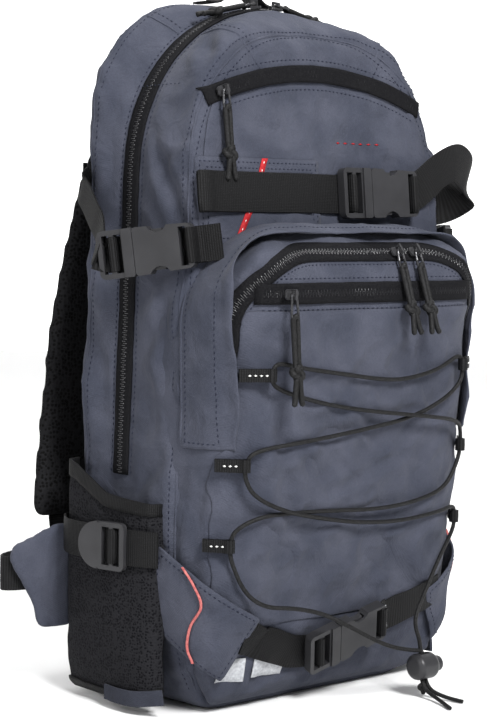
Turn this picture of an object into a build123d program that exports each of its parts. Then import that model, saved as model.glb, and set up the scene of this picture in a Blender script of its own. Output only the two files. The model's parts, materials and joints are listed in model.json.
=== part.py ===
from build123d import *
import math
import os

os.makedirs("parts", exist_ok=True)

# All sizes are millimetres. +X is the right-hand side seen from the front, -Y the outer face,
# +Y the wearer's back and +Z up. The origin is the middle of the underside of the base.

# main body
ARCH_RADIUS = 121.0  # the top arch, which the main zip follows
ARCH_Z = 372.0  # height of the centre of that arch
BODY_SKIN = 2.5  # cloth with its lining and foam
ZIP_FRONT_Y = 4.0
ZIP_BACK_Y = 20.0
ZIP_END_Z = 158.0
REAR_EDGE_Y = 50.0
BACK_Y = 56.0
BASE_RISE = 10.0
BODY_OUTLINE = [(-104, 0), (-132, 80), (-122, 340), (-121, 493)]
BODY_RADII = [26, 260, 400, 120.8]
REAR_OUTLINE = [(-112, 0), (-137, 80), (-128, 372), (-124, 499)]
REAR_RADII = [30, 260, 400, 78]
BODY_SIDE = [(80, -20), (-44, -20), (-57, 60), (-58, 300), (-40, 474), (-2, 494), (80, 506)]
BODY_SIDE_RADII = [1, 30, 90, 260, 26, 24, 1]
BODY_PLAN = [(-137, 140), (-131, -59)]
BODY_PLAN_RADII = [1, 30]

# outer pocket on the lower front
POCKET_OUTLINE = [(-100, 2), (-124, 50), (-128, 200), (-127, 337)]
POCKET_RADII = [20, 150, 300, 74]
POCKET_SIDE = [(-20, 2), (-58, 2), (-78, 60), (-99, 180), (-111, 280), (-104, 318), (-76, 337), (-20, 345)]
POCKET_SIDE_RADII = [1, 22, 160, 260, 90, 34, 50, 1]
POCKET_PLAN = [(-150, 20), (-129, -40), (-120, -88), (-92, -106), (-30, -112)]
POCKET_PLAN_RADII = [1, 60, 24, 60, 260]
POCKET_LEAN = 0.1  # how far the plan outline leans forward for each millimetre of height
POCKET_LEAN_Z = 293.0
POCKET_SKIN = 2.5
POCKET_BAND = 12.0  # how far the pocket's side band turns onto its face
POCKET_ZIP = 10.0  # width of the zip just inside the band
POCKET_ZIP_END_Z = 192.0
FLAP_END_Z = 184.0
POUCH_ZIP_Z = 293.0
POUCH_ZIP_HIGH = 15.0
POUCH_SKIN = 1.6


def unit(a, b):
    """The unit vector from one point of a plane to another."""
    length = math.hypot(b[0] - a[0], b[1] - a[1])
    return ((b[0] - a[0]) / length, (b[1] - a[1]) / length)


def grown(points, radii, grow):
    """A closed polygon and its corner radii, offset outward."""
    area = sum(p[0] * q[1] - q[0] * p[1] for p, q in zip(points, points[1:] + points[:1]))
    turn = 1.0 if area > 0 else -1.0
    moved = []
    bent = []
    for i, corner in enumerate(points):
        into = unit(points[i - 1], corner)
        out = unit(corner, points[(i + 1) % len(points)])
        bend = (into[0] * out[1] - into[1] * out[0]) * turn
        half = 1.0 + into[0] * out[0] + into[1] * out[1]
        shift = (into[1] + out[1], -into[0] - out[0])
        moved.append((corner[0] + turn * grow * shift[0] / half, corner[1] + turn * grow * shift[1] / half))
        bent.append(max(0.5, radii[i] + grow if bend > 0 else radii[i] - grow))
    return moved, bent


def closed(points, radii, plane, grow=0.0):
    """A closed outline on a plane, its corners rounded by arcs that meet its sides tangentially."""
    points, radii = grown(points, radii, grow)
    stops = []
    for i, corner in enumerate(points):
        into = unit(points[i - 1], corner)
        out = unit(corner, points[(i + 1) % len(points)])
        angle = math.acos(max(-1.0, min(1.0, into[0] * out[0] + into[1] * out[1])))
        reach = radii[i] * math.tan(angle / 2)
        sag = radii[i] / math.cos(angle / 2) - radii[i]
        inward = unit((0, 0), (out[0] - into[0], out[1] - into[1]))
        start = (corner[0] - into[0] * reach, corner[1] - into[1] * reach)
        middle = (corner[0] + inward[0] * sag, corner[1] + inward[1] * sag)
        end = (corner[0] + out[0] * reach, corner[1] + out[1] * reach)
        stops.append((start, middle, end))
    edges = []
    for i, (start, middle, end) in enumerate(stops):
        edges.append(Edge.make_three_point_arc(*[plane.from_local_coords(p) for p in (start, middle, end)]))
        follow = stops[(i + 1) % len(stops)][0]
        if math.hypot(follow[0] - end[0], follow[1] - end[1]) > 0.01:
            edges.append(Edge.make_line(plane.from_local_coords(end), plane.from_local_coords(follow)))
    return Face(Wire(edges))


def mirrored(half):
    """A closed outline from its left half, listed from bottom to top."""
    return half + [(-x, z) for x, z in reversed(half)]


def twice(radii):
    """The corner radii that go with a mirrored outline."""
    return radii + list(reversed(radii))


def prism(points, radii, plane, grow, near, far):
    """A filleted outline, grown by an offset and drawn out along the plane's normal."""
    return extrude(closed(points, radii, plane.offset(near), grow), amount=far - near, dir=plane.z_dir)


def y_prism(points, radii, y_from, y_to, grow=0.0):
    """An outline in X and Z drawn from one Y to another."""
    return prism(points, radii, Plane.XZ, grow, -y_to, -y_from)


def x_prism(points, radii, half, grow=0.0):
    """An outline in Y and Z drawn equally to both sides."""
    return prism(points, radii, Plane.YZ, grow, -half, half)


def z_prism(points, radii, z_from, z_to, grow=0.0):
    """An outline in X and Y drawn from one Z to another."""
    return prism(points, radii, Plane.XY, grow, z_from, z_to)


def body_front(grow):
    """The body from its front face back to the zip."""
    outline = y_prism(mirrored(BODY_OUTLINE), twice(BODY_RADII), -90, ZIP_BACK_Y, grow)
    side = x_prism(BODY_SIDE, BODY_SIDE_RADII, 200, grow)
    plan = z_prism(mirrored(BODY_PLAN), twice(BODY_PLAN_RADII), -30, 540, grow)
    return outline & side & plan


def body_rear(grow):
    """The body from the zip to the back, wider and squarer at its rear edge."""
    sections = [
        (BODY_OUTLINE, BODY_RADII, ZIP_BACK_Y, 0.0),
        (REAR_OUTLINE, REAR_RADII, REAR_EDGE_Y, 0.0),
        (REAR_OUTLINE, REAR_RADII, BACK_Y + grow, -6.0),
    ]
    faces = []
    for half, radii, y, inset in sections:
        faces.append(closed(mirrored(half), twice(radii), Plane.XZ.offset(-y), grow + inset))
    return Solid.make_loft([face.outer_wire() for face in faces], ruled=True)


HULLS = {}


def hull(grow):
    """The whole body, grown outward by an offset."""
    if grow not in HULLS:
        HULLS[grow] = body_front(grow) + body_rear(grow)
    return HULLS[grow]


POCKETS = {}


def pocket(grow):
    """The outer pocket with its back buried in the body, grown outward by an offset."""
    if grow not in POCKETS:
        outline = y_prism(mirrored(POCKET_OUTLINE), twice(POCKET_RADII), -140, -20, grow)
        side = x_prism(POCKET_SIDE, POCKET_SIDE_RADII, 200, grow)
        low = POCKET_LEAN * (POCKET_LEAN_Z + 30)
        foot = closed(mirrored(POCKET_PLAN), twice(POCKET_PLAN_RADII), Plane.XY.offset(-30), grow)
        plan = Pos(0, low, 0) * extrude(foot, amount=430, dir=(0, -POCKET_LEAN, 1))
        POCKETS[grow] = outline & side & plan
    return POCKETS[grow]


def slab(x, y, z):
    """A box from its X, Y and Z limits."""
    box = Box(x[1] - x[0], y[1] - y[0], z[1] - z[0])
    return Pos((x[0] + x[1]) / 2, (y[0] + y[1]) / 2, (z[0] + z[1]) / 2) * box


def mirror_x(shape):
    """The same piece on the other side of the pack."""
    return mirror(shape, about=Plane.YZ)


def solids(*pieces):
    """Several separate solids kept together in one node."""
    found = []
    for piece in pieces:
        found += list(piece.solids())
    return Compound(children=found)


def ribbon(path, width, thickness, plane, radius=4.0):
    """A flat strap that follows a path of points on a plane and is as wide as the plane is deep."""
    sides = []
    for side in (0.5, -0.5):
        sides.append(shifted(path, side * thickness))
    outline = sides[0] + list(reversed(sides[1]))
    count = len(path)
    radii = [0.2] * len(outline)
    for i in range(1, count - 1):
        turn = bend(path, i)
        inner = radius - thickness / 2
        outer = radius + thickness / 2
        radii[i] = inner if turn > 0 else outer
        radii[2 * count - 1 - i] = outer if turn > 0 else inner
    return extrude(closed(outline, radii, plane.offset(-width / 2)), amount=width, dir=plane.z_dir)


def bend(path, i):
    """Positive where a path turns left at one of its points."""
    into = unit(path[i - 1], path[i])
    out = unit(path[i], path[i + 1])
    return into[0] * out[1] - into[1] * out[0]


def shifted(path, side):
    """A path moved sideways to its left by a distance."""
    moved = []
    for i, point in enumerate(path):
        into = unit(path[max(i - 1, 0)], path[max(i - 1, 0) + 1])
        out = unit(path[min(i, len(path) - 2)], path[min(i, len(path) - 2) + 1])
        half = 1.0 + into[0] * out[0] + into[1] * out[1]
        moved.append((point[0] - side * (into[1] + out[1]) / half, point[1] + side * (into[0] + out[0]) / half))
    return moved


def cord(points, diameter, share=0.45):
    """A round cord: straight runs joined by arcs as wide as the shorter run allows."""
    radii = []
    for a, b, c in zip(points, points[1:], points[2:]):
        first = Vector(*b) - Vector(*a)
        second = Vector(*c) - Vector(*b)
        turn = math.radians(first.get_angle(second))
        radii.append(share * min(first.length, second.length) / math.tan(turn / 2))
    path = FilletPolyline(*points, radius=radii)
    bends = [round(radius, 1) for radius in radii]
    print("cord", diameter, "mm, bend radii", bends, "length", round(path.length, 1))
    start = Plane(origin=path @ 0, z_dir=path % 0)
    return sweep(start * Circle(diameter / 2), path=path)

# ---- body -----------------------------------------------------------------------------------


def front_shell():
    """Front, sides and lower back edge of the main compartment, up to the zip."""
    skin = hull(0) - hull(-BODY_SKIN)
    front = slab((-200, 200), (-90, ZIP_FRONT_Y), (BASE_RISE, 520))
    below = slab((-200, 200), (ZIP_FRONT_Y, ZIP_BACK_Y), (BASE_RISE, ZIP_END_Z))
    return skin & (front + below)


def rear_shell():
    """The strip of cloth behind the zip and the back wall."""
    skin = hull(0) - hull(-BODY_SKIN)
    return skin & slab((-200, 200), (ZIP_BACK_Y, 90), (BASE_RISE, 520))


def base_panel():
    """The tray that forms the bottom of the pack."""
    return (hull(0) - hull(-BODY_SKIN)) & slab((-200, 200), (-90, 90), (-1, BASE_RISE))


COIL_RISE = 1.6
MAIN_COIL_Y = (ZIP_FRONT_Y + ZIP_BACK_Y) / 2


def main_zip():
    """Tape and coil of the zip that opens the whole front."""
    tape = (hull(0) - hull(-1.2)) & slab((-200, 200), (ZIP_FRONT_Y, ZIP_BACK_Y), (ZIP_END_Z, 520))
    coil_band = slab((-200, 200), (MAIN_COIL_Y - 3, MAIN_COIL_Y + 3), (ZIP_END_Z + 6, 520))
    return tape + ((hull(COIL_RISE) - hull(0)) & coil_band)


# ---- zip sliders and pulls --------------------------------------------------------------------

SLIDER_LONG = 11.0
SLIDER_WIDE = 7.0
SLIDER_GAP = 0.5
PIVOT_UP = 3.4  # pull pivot above the underside of its slider


def slider(turn=0.0):
    """A slider on the plane z = 0: its plate, and the bridge that the pull hangs in."""
    plate = Pos(0, 0, SLIDER_GAP + 0.7) * Box(SLIDER_LONG, SLIDER_WIDE, 1.4)
    plate = fillet(plate.edges().filter_by(Axis.Z), 2.4)
    post = Pos(2.9, 0, SLIDER_GAP + 2.8) * Box(1.2, 1.8, 3.4)
    heel = Pos(-2.9, 0, SLIDER_GAP + 2.8) * Box(1.2, 1.8, 3.4)
    bridge = Pos(0, 0, SLIDER_GAP + 5.2) * Box(7.0, 1.8, 1.4)
    return plate + Rot(0, 0, turn) * (post + heel + bridge)


WIRE = 1.2
CORD_END = 1.5


def pull(length):
    """A zip pull from its pivot at the origin, along +X: wire, folded cord, knot and two ends."""
    bail = 0.34 * length
    outer = [(-WIRE / 2, -2.5), (bail, -3.6), (bail, 3.6), (-WIRE / 2, 2.5)]
    radii = [0.7, 2.0, 2.0, 0.7]
    wire = extrude(closed(outer, radii, Plane.XY.offset(-WIRE / 2)), amount=WIRE, dir=(0, 0, 1))
    wire -= extrude(closed(outer, radii, Plane.XY.offset(-WIRE), -WIRE), amount=2 * WIRE, dir=(0, 0, 1))
    fold = slab((bail - 2 * WIRE, 0.66 * length), (-2.2, 2.2), (-1.5, 1.5))
    fold = fillet(fold.edges().filter_by(Axis.X), 1.4)
    knot = Pos(0.68 * length, 0, 0) * scale(Sphere(4.6), by=(1.15, 1.0, 0.6))
    ends = []
    for side in (-1, 1):
        ends.append(cylinder_between((0.7 * length, side * 1.2, 0), (length, side * 3.4, 0), CORD_END))
    return wire + fold + knot + ends[0] + ends[1]


def cylinder_between(start, end, radius):
    """A round bar from one point to another."""
    way = Vector(*end) - Vector(*start)
    plane = Plane(origin=start, z_dir=way)
    return plane * Cylinder(radius, way.length, align=(Align.CENTER, Align.CENTER, Align.MIN))


def arch_plane(angle, radius, y):
    """A plane on the top arch: x along the zip towards the right, z outward."""
    x = radius * math.sin(math.radians(angle))
    z = radius * math.cos(math.radians(angle))
    side = Vector(math.cos(math.radians(angle)), 0, -math.sin(math.radians(angle)))
    return Plane(origin=(x, y, ARCH_Z + z), x_dir=side, z_dir=(x, 0, z))


MAIN_SLIDER_ANGLE = 5.0
MAIN_PULL = 52.0
REST_TILT = 8.0  # how far a pull lies down past its slider
HANG_TILT = -1.5


def main_slider(side):
    """One of the two sliders that meet at the top of the main zip."""
    seat = arch_plane(side * MAIN_SLIDER_ANGLE, ARCH_RADIUS + COIL_RISE, MAIN_COIL_Y)
    return seat * slider()


def main_pull(side):
    """The pull of a main slider, lying along the zip away from the middle."""
    angle = side * MAIN_SLIDER_ANGLE
    seat = arch_plane(angle, ARCH_RADIUS + COIL_RISE + SLIDER_GAP + PIVOT_UP, MAIN_COIL_Y)
    turned = seat * Rot(0, 0, 0 if side > 0 else 180)
    return turned * Rot(0, REST_TILT, 0) * pull(MAIN_PULL)


# ---- upper front pocket -------------------------------------------------------------------------

PANEL_THICK = 1.6
FRONT_TILT = math.degrees(math.atan2(18, 174))
FRONT_NORMAL = (0, -math.cos(math.radians(FRONT_TILT)), math.sin(math.radians(FRONT_TILT)))
FRONT_PLANE = Plane(origin=(0, -40 - 18 * (474 - 445) / 174, 445), x_dir=(1, 0, 0), z_dir=FRONT_NORMAL)
TOP_ZIP_RADIUS = 266.0
TOP_ZIP_WIDE = 14.0
TOP_ZIP_ANGLE = 23.0
TOP_SLIDER_ANGLE = 20.0
TOP_PULL = 62.0


def top_zip_area(wide, rise_from, rise_to, angle=TOP_ZIP_ANGLE):
    """A strip along the arched pocket zip, between two heights above the front face."""
    ring = Circle(TOP_ZIP_RADIUS + wide / 2) - Circle(TOP_ZIP_RADIUS - wide / 2)
    half = TOP_ZIP_RADIUS * 1.3 * math.tan(math.radians(angle))
    wedge = make_face(Polyline((0, 0), (-half, TOP_ZIP_RADIUS * 1.3), (half, TOP_ZIP_RADIUS * 1.3), close=True))
    strip = extrude(ring & wedge, amount=rise_to - rise_from, dir=(0, 0, 1))
    return FRONT_PLANE * (Pos(0, -TOP_ZIP_RADIUS, rise_from) * strip)


def top_pocket_panel():
    """Cloth of the upper front pocket, cut open along its zip."""
    layer = hull(PANEL_THICK) - hull(0)
    area = y_prism(mirrored(BODY_OUTLINE), twice(BODY_RADII), -90, -30, -12)
    area = area & slab((-200, 200), (-90, -30), (320, 466))
    return (layer & area) - top_zip_area(TOP_ZIP_WIDE, -3, 6) - pocket(0.3)


def top_pocket_zip():
    """Tape and coil of the upper front pocket."""
    tape = top_zip_area(TOP_ZIP_WIDE - 0.4, 0.0, 1.0)
    coil = top_zip_area(5.0, 1.0, 1.0 + COIL_RISE)
    return (tape + coil) - hull(0)


def top_slider_seat():
    """The seat of the pocket slider at the left end of its zip: x along the zip, z outward."""
    angle = math.radians(-TOP_SLIDER_ANGLE)
    seat = Pos(TOP_ZIP_RADIUS * math.sin(angle), TOP_ZIP_RADIUS * (math.cos(angle) - 1), 1.0 + COIL_RISE)
    return FRONT_PLANE.location * seat * Rot(0, 0, TOP_SLIDER_ANGLE)


def top_pocket_slider():
    """Slider of the upper front pocket."""
    return top_slider_seat() * slider(-TOP_SLIDER_ANGLE - 90)


def top_pocket_pull():
    """Its pull, hanging straight down the panel."""
    hang = Rot(0, 0, -TOP_SLIDER_ANGLE - 90) * Rot(0, HANG_TILT, 0)
    return top_slider_seat() * Pos(0, 0, SLIDER_GAP + PIVOT_UP) * hang * pull(TOP_PULL)


PATCH_THICK = 1.6


def lash_patch():
    """The cloth patch that backs the left end of the upper lash strap."""
    layer = hull(PANEL_THICK + PATCH_THICK) - hull(PANEL_THICK)
    area = y_prism([(-117, 323), (-4, 323), (-4, 385), (-117, 385)], [3, 3, 3, 3], -90, -30)
    return (layer & area) - pocket(0.3)


# ---- outer pocket and the pouch on its face -----------------------------------------------------


def pocket_ring(inset_from, inset_to):
    """The area between two insets of the pocket's front outline."""
    wide = y_prism(mirrored(POCKET_OUTLINE), twice(POCKET_RADII), -140, -60, -inset_from)
    return wide - y_prism(mirrored(POCKET_OUTLINE), twice(POCKET_RADII), -141, -59, -inset_to)


def pocket_skin():
    """The pocket's cloth with everything inside the body taken away."""
    return pocket(0) - pocket(-POCKET_SKIN) - hull(0)


ZIP_UP = slab((-200, 200), (-140, -40), (POCKET_ZIP_END_Z, 400))


def outer_pocket_band():
    """The cloth band that joins the outer pocket to the body and turns onto its face."""
    face = y_prism(mirrored(POCKET_OUTLINE), twice(POCKET_RADII), -141, -64, -POCKET_BAND)
    return pocket_skin() - face


def outer_pocket_zip():
    """Tape and coil of the zip around the top of the outer pocket's face."""
    tape = (pocket(0) - pocket(-1.2)) & pocket_ring(POCKET_BAND, POCKET_BAND + POCKET_ZIP) & ZIP_UP
    middle = POCKET_BAND + POCKET_ZIP / 2
    above = slab((-200, 200), (-140, -40), (POCKET_ZIP_END_Z + 6, 400))
    coil = (pocket(COIL_RISE) - pocket(0)) & pocket_ring(middle - 2.5, middle + 2.5) & above
    return tape + coil


def outer_pocket_face():
    """The pocket's front cloth inside its zip."""
    inside = y_prism(mirrored(POCKET_OUTLINE), twice(POCKET_RADII), -140, -64, -POCKET_BAND)
    zip_area = pocket_ring(POCKET_BAND, POCKET_BAND + POCKET_ZIP) & ZIP_UP
    return (pocket_skin() & inside) - zip_area


FLAP_LOW = 2.4
FLAP_THICK = 1.4
FLAP_INSET = 10.0
FLAP_ROOT_Y = -66.0


def arch_flap():
    """The loose flap that arches over the outer pocket and hides its zip from above."""
    above = slab((-200, 200), (-140, -40), (FLAP_END_Z, 400))
    ring = pocket_ring(-12, FLAP_INSET) + slab((-200, 200), (-64, -40), (100, 400))
    cover = (pocket(FLAP_LOW + FLAP_THICK) - pocket(FLAP_LOW)) & ring & above
    root = (pocket(FLAP_LOW + FLAP_THICK) - pocket(0)) & above & slab((-200, 200), (FLAP_ROOT_Y, -40), (100, 400))
    return cover + root - hull(PANEL_THICK + PATCH_THICK + 0.4)


OUTER_PULL = 62.0
OUTER_SLIDER_X = (26.0, 44.0)
OUTER_SEAT_Z = 320.0
OUTER_SEAT_Y = -101.6
OUTER_SEAT_TILT = 38.0
OUTER_HANG = 19.0


def outer_seat(x):
    """The seat of an outer pocket slider on the sloping top of the face."""
    tilt = math.radians(OUTER_SEAT_TILT)
    return Plane(origin=(x, OUTER_SEAT_Y, OUTER_SEAT_Z), x_dir=(1, 0, 0), z_dir=(0, -math.cos(tilt), math.sin(tilt)))


def outer_slider(x):
    """A slider of the outer pocket."""
    return outer_seat(x) * slider(-90)


def outer_pull(x):
    """Its pull, hanging down in front of the pouch."""
    hang = outer_seat(x) * Pos(0, 0, SLIDER_GAP + PIVOT_UP) * Rot(0, 0, -90)
    return hang * Rot(0, OUTER_HANG, 0) * pull(OUTER_PULL)


def pouch_panel():
    """Cloth of the flat pouch on the face of the outer pocket, wider below the end of the zip."""
    upper = y_prism(mirrored(POCKET_OUTLINE), twice(POCKET_RADII), -140, -56, -POCKET_BAND - POCKET_ZIP - 1)
    lower = y_prism(mirrored(POCKET_OUTLINE), twice(POCKET_RADII), -140, -56, -POCKET_BAND)
    upper = upper & slab((-200, 200), (-140, -56), (POCKET_ZIP_END_Z - 4, POUCH_ZIP_Z - POUCH_ZIP_HIGH / 2))
    lower = lower & slab((-200, 200), (-140, -56), (56, POCKET_ZIP_END_Z - 4))
    return (pocket(POUCH_SKIN) - pocket(0)) & (upper + lower)


def pouch_zip_area(high, inset):
    """A level strip across the face."""
    inside = y_prism(mirrored(POCKET_OUTLINE), twice(POCKET_RADII), -140, -64, -inset)
    return inside & slab((-200, 200), (-140, -64), (POUCH_ZIP_Z - high / 2, POUCH_ZIP_Z + high / 2))


def pouch_zip():
    """Tape and coil of the straight zip at the top of the pouch."""
    tape = (pocket(1.0) - pocket(0)) & pouch_zip_area(POUCH_ZIP_HIGH - 0.6, POCKET_BAND + POCKET_ZIP + 1)
    coil = (pocket(1.0 + COIL_RISE) - pocket(1.0)) & pouch_zip_area(5.0, POCKET_BAND + POCKET_ZIP + 6)
    return tape + coil


POUCH_SLIDER_X = -84.0
POUCH_PULL = 74.0
POUCH_LIFT = 5.0  # the pull stands off the pouch by this angle, because the elastic cord is behind it


def pouch_seat():
    """The seat of the pouch slider near the left end of its zip."""
    return Plane(origin=(POUCH_SLIDER_X, -111.2, POUCH_ZIP_Z), x_dir=(1, 0, 0), z_dir=(0, -1, 0))


def pouch_slider():
    """Slider of the pouch."""
    return pouch_seat() * slider(-90)


def pouch_pull():
    """Its pull, hanging straight down the pouch."""
    hang = pouch_seat() * Pos(0, 0, SLIDER_GAP + PIVOT_UP) * Rot(0, 0, -90)
    return hang * Rot(0, -POUCH_LIFT, 0) * pull(POUCH_PULL)


# ---- elastic cord with its loops and lock --------------------------------------------------------

CORD_WIDE = 3.0
LOOP_HIGH = 9.0
# height of each loop, then the places of its root and of its eye on the left-hand side
LOOPS = [
    (239, (-111, -94.5), (-94, -105.6)),
    (178, (-119, -80.5), (-106, -94.0)),
    (123, (-121, -71.5), (-111, -85.0)),
]
LOOP_EYE = 3.8
LOOP_HOLE = 2.6
LOOP_THICK = 2.4


def cord_loop(z, root, eye):
    """A sewn webbing loop whose eye holds the elastic cord upright."""
    plane = Plane.XY.offset(z - LOOP_HIGH / 2)
    along = unit(root, eye)
    side = (-along[1] * LOOP_THICK / 2, along[0] * LOOP_THICK / 2)
    corners = [
        (root[0] + side[0], root[1] + side[1]),
        (root[0] - side[0], root[1] - side[1]),
        (eye[0] - side[0], eye[1] - side[1]),
        (eye[0] + side[0], eye[1] + side[1]),
    ]
    strip = extrude(closed(corners, [0.5] * 4, plane), amount=LOOP_HIGH, dir=(0, 0, 1))
    ring = Pos(eye[0], eye[1], z) * Cylinder(LOOP_EYE, LOOP_HIGH)
    hole = Pos(eye[0], eye[1], z) * Cylinder(LOOP_HOLE, LOOP_HIGH + 2)
    return (strip + ring - hole) - pocket(POUCH_SKIN)


def cord_loops():
    """The six loops down the two sides of the pouch."""
    left = [cord_loop(*spot) for spot in LOOPS]
    return solids(*left, *[mirror_x(loop) for loop in left])


# from one free end over the pouch and back to the other free end
CORD_ROUTE = [
    (40, -150, 1.7),
    (49, -131, 2.6),
    (50, -112, 8),
    (50, -112, 39),
    (44, -109, 56),
    (58, -105, 72),
    (82, -98, 97),
    (110, -86, 114),
    (111, -85, 123),
    (109, -86.5, 132),
    (86, -94.5, 130),
    (44, -95.5, 127),
    (-1, -96.5, 130),
    (-44, -98.5, 138),
    (-78, -101.5, 146),
    (-100, -96.5, 157),
    (-106, -93.5, 169),
    (-106, -94, 179),
    (-102, -97, 188),
    (-64, -104.2, 192),
    (-10, -105.8, 197),
    (40, -107, 203),
    (75, -105.8, 214),
    (93.5, -105, 226),
    (94, -105.6, 239),
    (90, -105.8, 247),
    (66, -107.6, 236),
    (30, -110.2, 231),
    (5, -110.4, 232),
    (-35, -110.8, 238),
    (-70, -108.6, 243),
    (-91, -106.2, 248),
    (-94, -105.6, 239),
    (-92, -105.4, 230),
    (-50, -107.6, 218),
    (-10, -108.4, 211),
    (50, -112.5, 204),
    (92, -104.5, 198),
    (105.5, -94.5, 188),
    (106, -94, 177),
    (104, -94, 167),
    (90, -95.8, 148),
    (60, -98, 141),
    (20, -97.4, 138),
    (-30, -97.2, 141.5),
    (-62, -97.5, 143),
    (-92, -94.9, 143),
    (-109, -86.5, 134),
    (-111, -85, 123),
    (-110, -85.5, 112),
    (-100, -88.5, 90),
    (-84, -92, 79),
    (-62, -97, 77),
    (-38, -102, 71),
    (-12, -107, 57),
    (16, -110.5, 42),
    (40, -112, 36),
    (54, -112, 34),
    (54, -112, 8),
    (57, -128, 2.2),
    (61, -143, 1.7),
]
KNOT = (52, -113, 7.4)
LOCK = (52, -112, 23)
LOCK_LONG = 20.0
LOCK_RADIUS = 9.5
BUTTON_RADIUS = 5.6
BUTTON_TRAVEL = 3.5


def elastic_cord():
    """The cord laced through the loops, with the knot that keeps its lock on."""
    line = cord(CORD_ROUTE, CORD_WIDE)
    knot = Pos(*KNOT) * scale(Sphere(5.6), by=(1.1, 0.9, 0.95))
    return line + knot


def lock_plane():
    """The cord lock's axis is level and points right: x along the button's travel."""
    return Plane(origin=LOCK, x_dir=(0, 1, 0), z_dir=(1, 0, 0))


def cord_lock_barrel():
    """The barrel: a rounded drum, bored for its button and slotted for the two cords."""
    drum = Cylinder(LOCK_RADIUS, LOCK_LONG)
    drum = fillet(drum.edges().filter_by(GeomType.CIRCLE), 4.5)
    bore = Pos(0, 0, -4.5) * Cylinder(BUTTON_RADIUS + 0.4, LOCK_LONG, align=(Align.CENTER, Align.CENTER, Align.MIN))
    slot = Box(4.6, 40, 8.6)
    return lock_plane().location * (drum - bore - slot)


def cord_lock_button():
    """The sprung button, pushed along the axis of the barrel to free the cords."""
    stem = Cylinder(BUTTON_RADIUS, 16.5, align=(Align.CENTER, Align.CENTER, Align.MIN))
    stem = Pos(0, 0, -4.5 + BUTTON_TRAVEL + 0.6) * stem
    stem = fillet(stem.edges().filter_by(GeomType.CIRCLE).sort_by(Axis.Z)[-1], 1.2)
    slot = Pos(0, 0, 1.5) * Box(4.6, 40, 12.2)
    return lock_plane().location * (stem - slot)


# ---- side-release buckles -----------------------------------------------------------------------
# Each buckle lies on the plane z = 0 of its own seat. Its halves meet at x = 0: the female half
# reaches towards +x, and the male half towards -x.

BUCKLE_THICK = 8.0
PRONG_LONG = 21.0
WALL = 2.2
FIT = 0.4


def buckle_female(webbing):
    """Female half: a hollow body with open sides and a bar for its webbing."""
    wide = webbing + 8
    long = 1.3 * wide if webbing > 22 else 1.2 * wide
    half = wide / 2
    outline = [(0, -half), (long, -half + 1.5), (long, half - 1.5), (0, half)]
    body = extrude(closed(outline, [2.5, 4, 4, 2.5], Plane.XY), amount=BUCKLE_THICK, dir=(0, 0, 1))
    mouth = slab((-1, PRONG_LONG + 2), (-half + WALL, half - WALL), (1.8, BUCKLE_THICK - 1.8))
    notches = []
    for side in (-1, 1):
        notches.append(Pos(0.42 * long, side * (half + 3.2), -1) * Cylinder(8.2, 30))
    slot = slab((long - 9.4, long - 4.2), (-webbing / 2 - 0.6, webbing / 2 + 0.6), (-1, BUCKLE_THICK + 1))
    return body - mouth - notches[0] - notches[1] - slot


def buckle_male(webbing):
    """Male half: a ladder frame for adjustable webbing and two prongs with a guide between them."""
    wide = webbing + 8
    half = wide / 2
    outline = closed([(-27, -half), (-FIT, -half), (-FIT, half), (-27, half)], [4, 2, 2, 4], Plane.XY)
    frame = extrude(outline, amount=BUCKLE_THICK, dir=(0, 0, 1))
    frame -= slab((-30, -8), (-40, 40), (6.4, 20))
    for start in (-23.6, -14.6):
        frame -= slab((start, start + 5.4), (-webbing / 2 - 0.6, webbing / 2 + 0.6), (-1, 20))
    inside = half - WALL - FIT
    arms = slab((-1, PRONG_LONG), (-inside, -inside + 4.5), (2.2, BUCKLE_THICK - 2.2))
    arms += slab((-1, PRONG_LONG), (inside - 4.5, inside), (2.2, BUCKLE_THICK - 2.2))
    guide = slab((-1, PRONG_LONG - 6), (-1.6, 1.6), (2.6, BUCKLE_THICK - 2.6))
    return frame + arms + guide


UPPER_SEAT = FRONT_PLANE.location * Pos(38, 360 - 445, 5.8)
LOWER_PLANE = Plane(origin=(-6, -79.2, 45), x_dir=(0.955, -0.0961, 0.28), z_dir=(0.0, -0.945, -0.326))
LOWER_SEAT = LOWER_PLANE.location
SIDE_PLANE = Plane(origin=(-140.5, -20, 319), x_dir=(0.474, -0.87, 0.135), z_dir=(-0.878, -0.478, 0))
SIDE_SEAT = SIDE_PLANE.location
CHEST_SEAT = Plane(origin=(0, 116.6, 372), x_dir=(-1, 0, 0), z_dir=(0, 1, 0)).location
UPPER_WEB = 28.0
SIDE_WEB = 25.0
CHEST_WEB = 19.0
WEB_THICK = 1.5


# ---- upper lash strap ---------------------------------------------------------------------------


def upper_strap():
    """The two lengths of the strap that carries skis or a board against the upper pocket."""
    low = PANEL_THICK + PATCH_THICK + 0.3
    left = slab((-112, 34), (-UPPER_WEB / 2, UPPER_WEB / 2), (low, low + WEB_THICK))
    root = slab((-114, -107), (-UPPER_WEB / 2, UPPER_WEB / 2), (PANEL_THICK + PATCH_THICK, low + WEB_THICK))
    left = FRONT_PLANE.location * (Pos(0, 360 - 445, 0) * (left + root)) - hull(PANEL_THICK + PATCH_THICK)
    under = slab((42, 92), (-UPPER_WEB / 2, UPPER_WEB / 2), (low, low + WEB_THICK))
    under = FRONT_PLANE.location * (Pos(0, 360 - 445, 0) * under)
    path = [(87, -55.6), (104, -59.5), (122, -66), (143, -64), (158, -50), (150, -36), (124, -29)]
    right = (under + ribbon(path, UPPER_WEB, WEB_THICK, Plane.XY.offset(361), 6)) - hull(PANEL_THICK)
    return solids(left, right)


# ---- side compression straps --------------------------------------------------------------------


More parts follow.
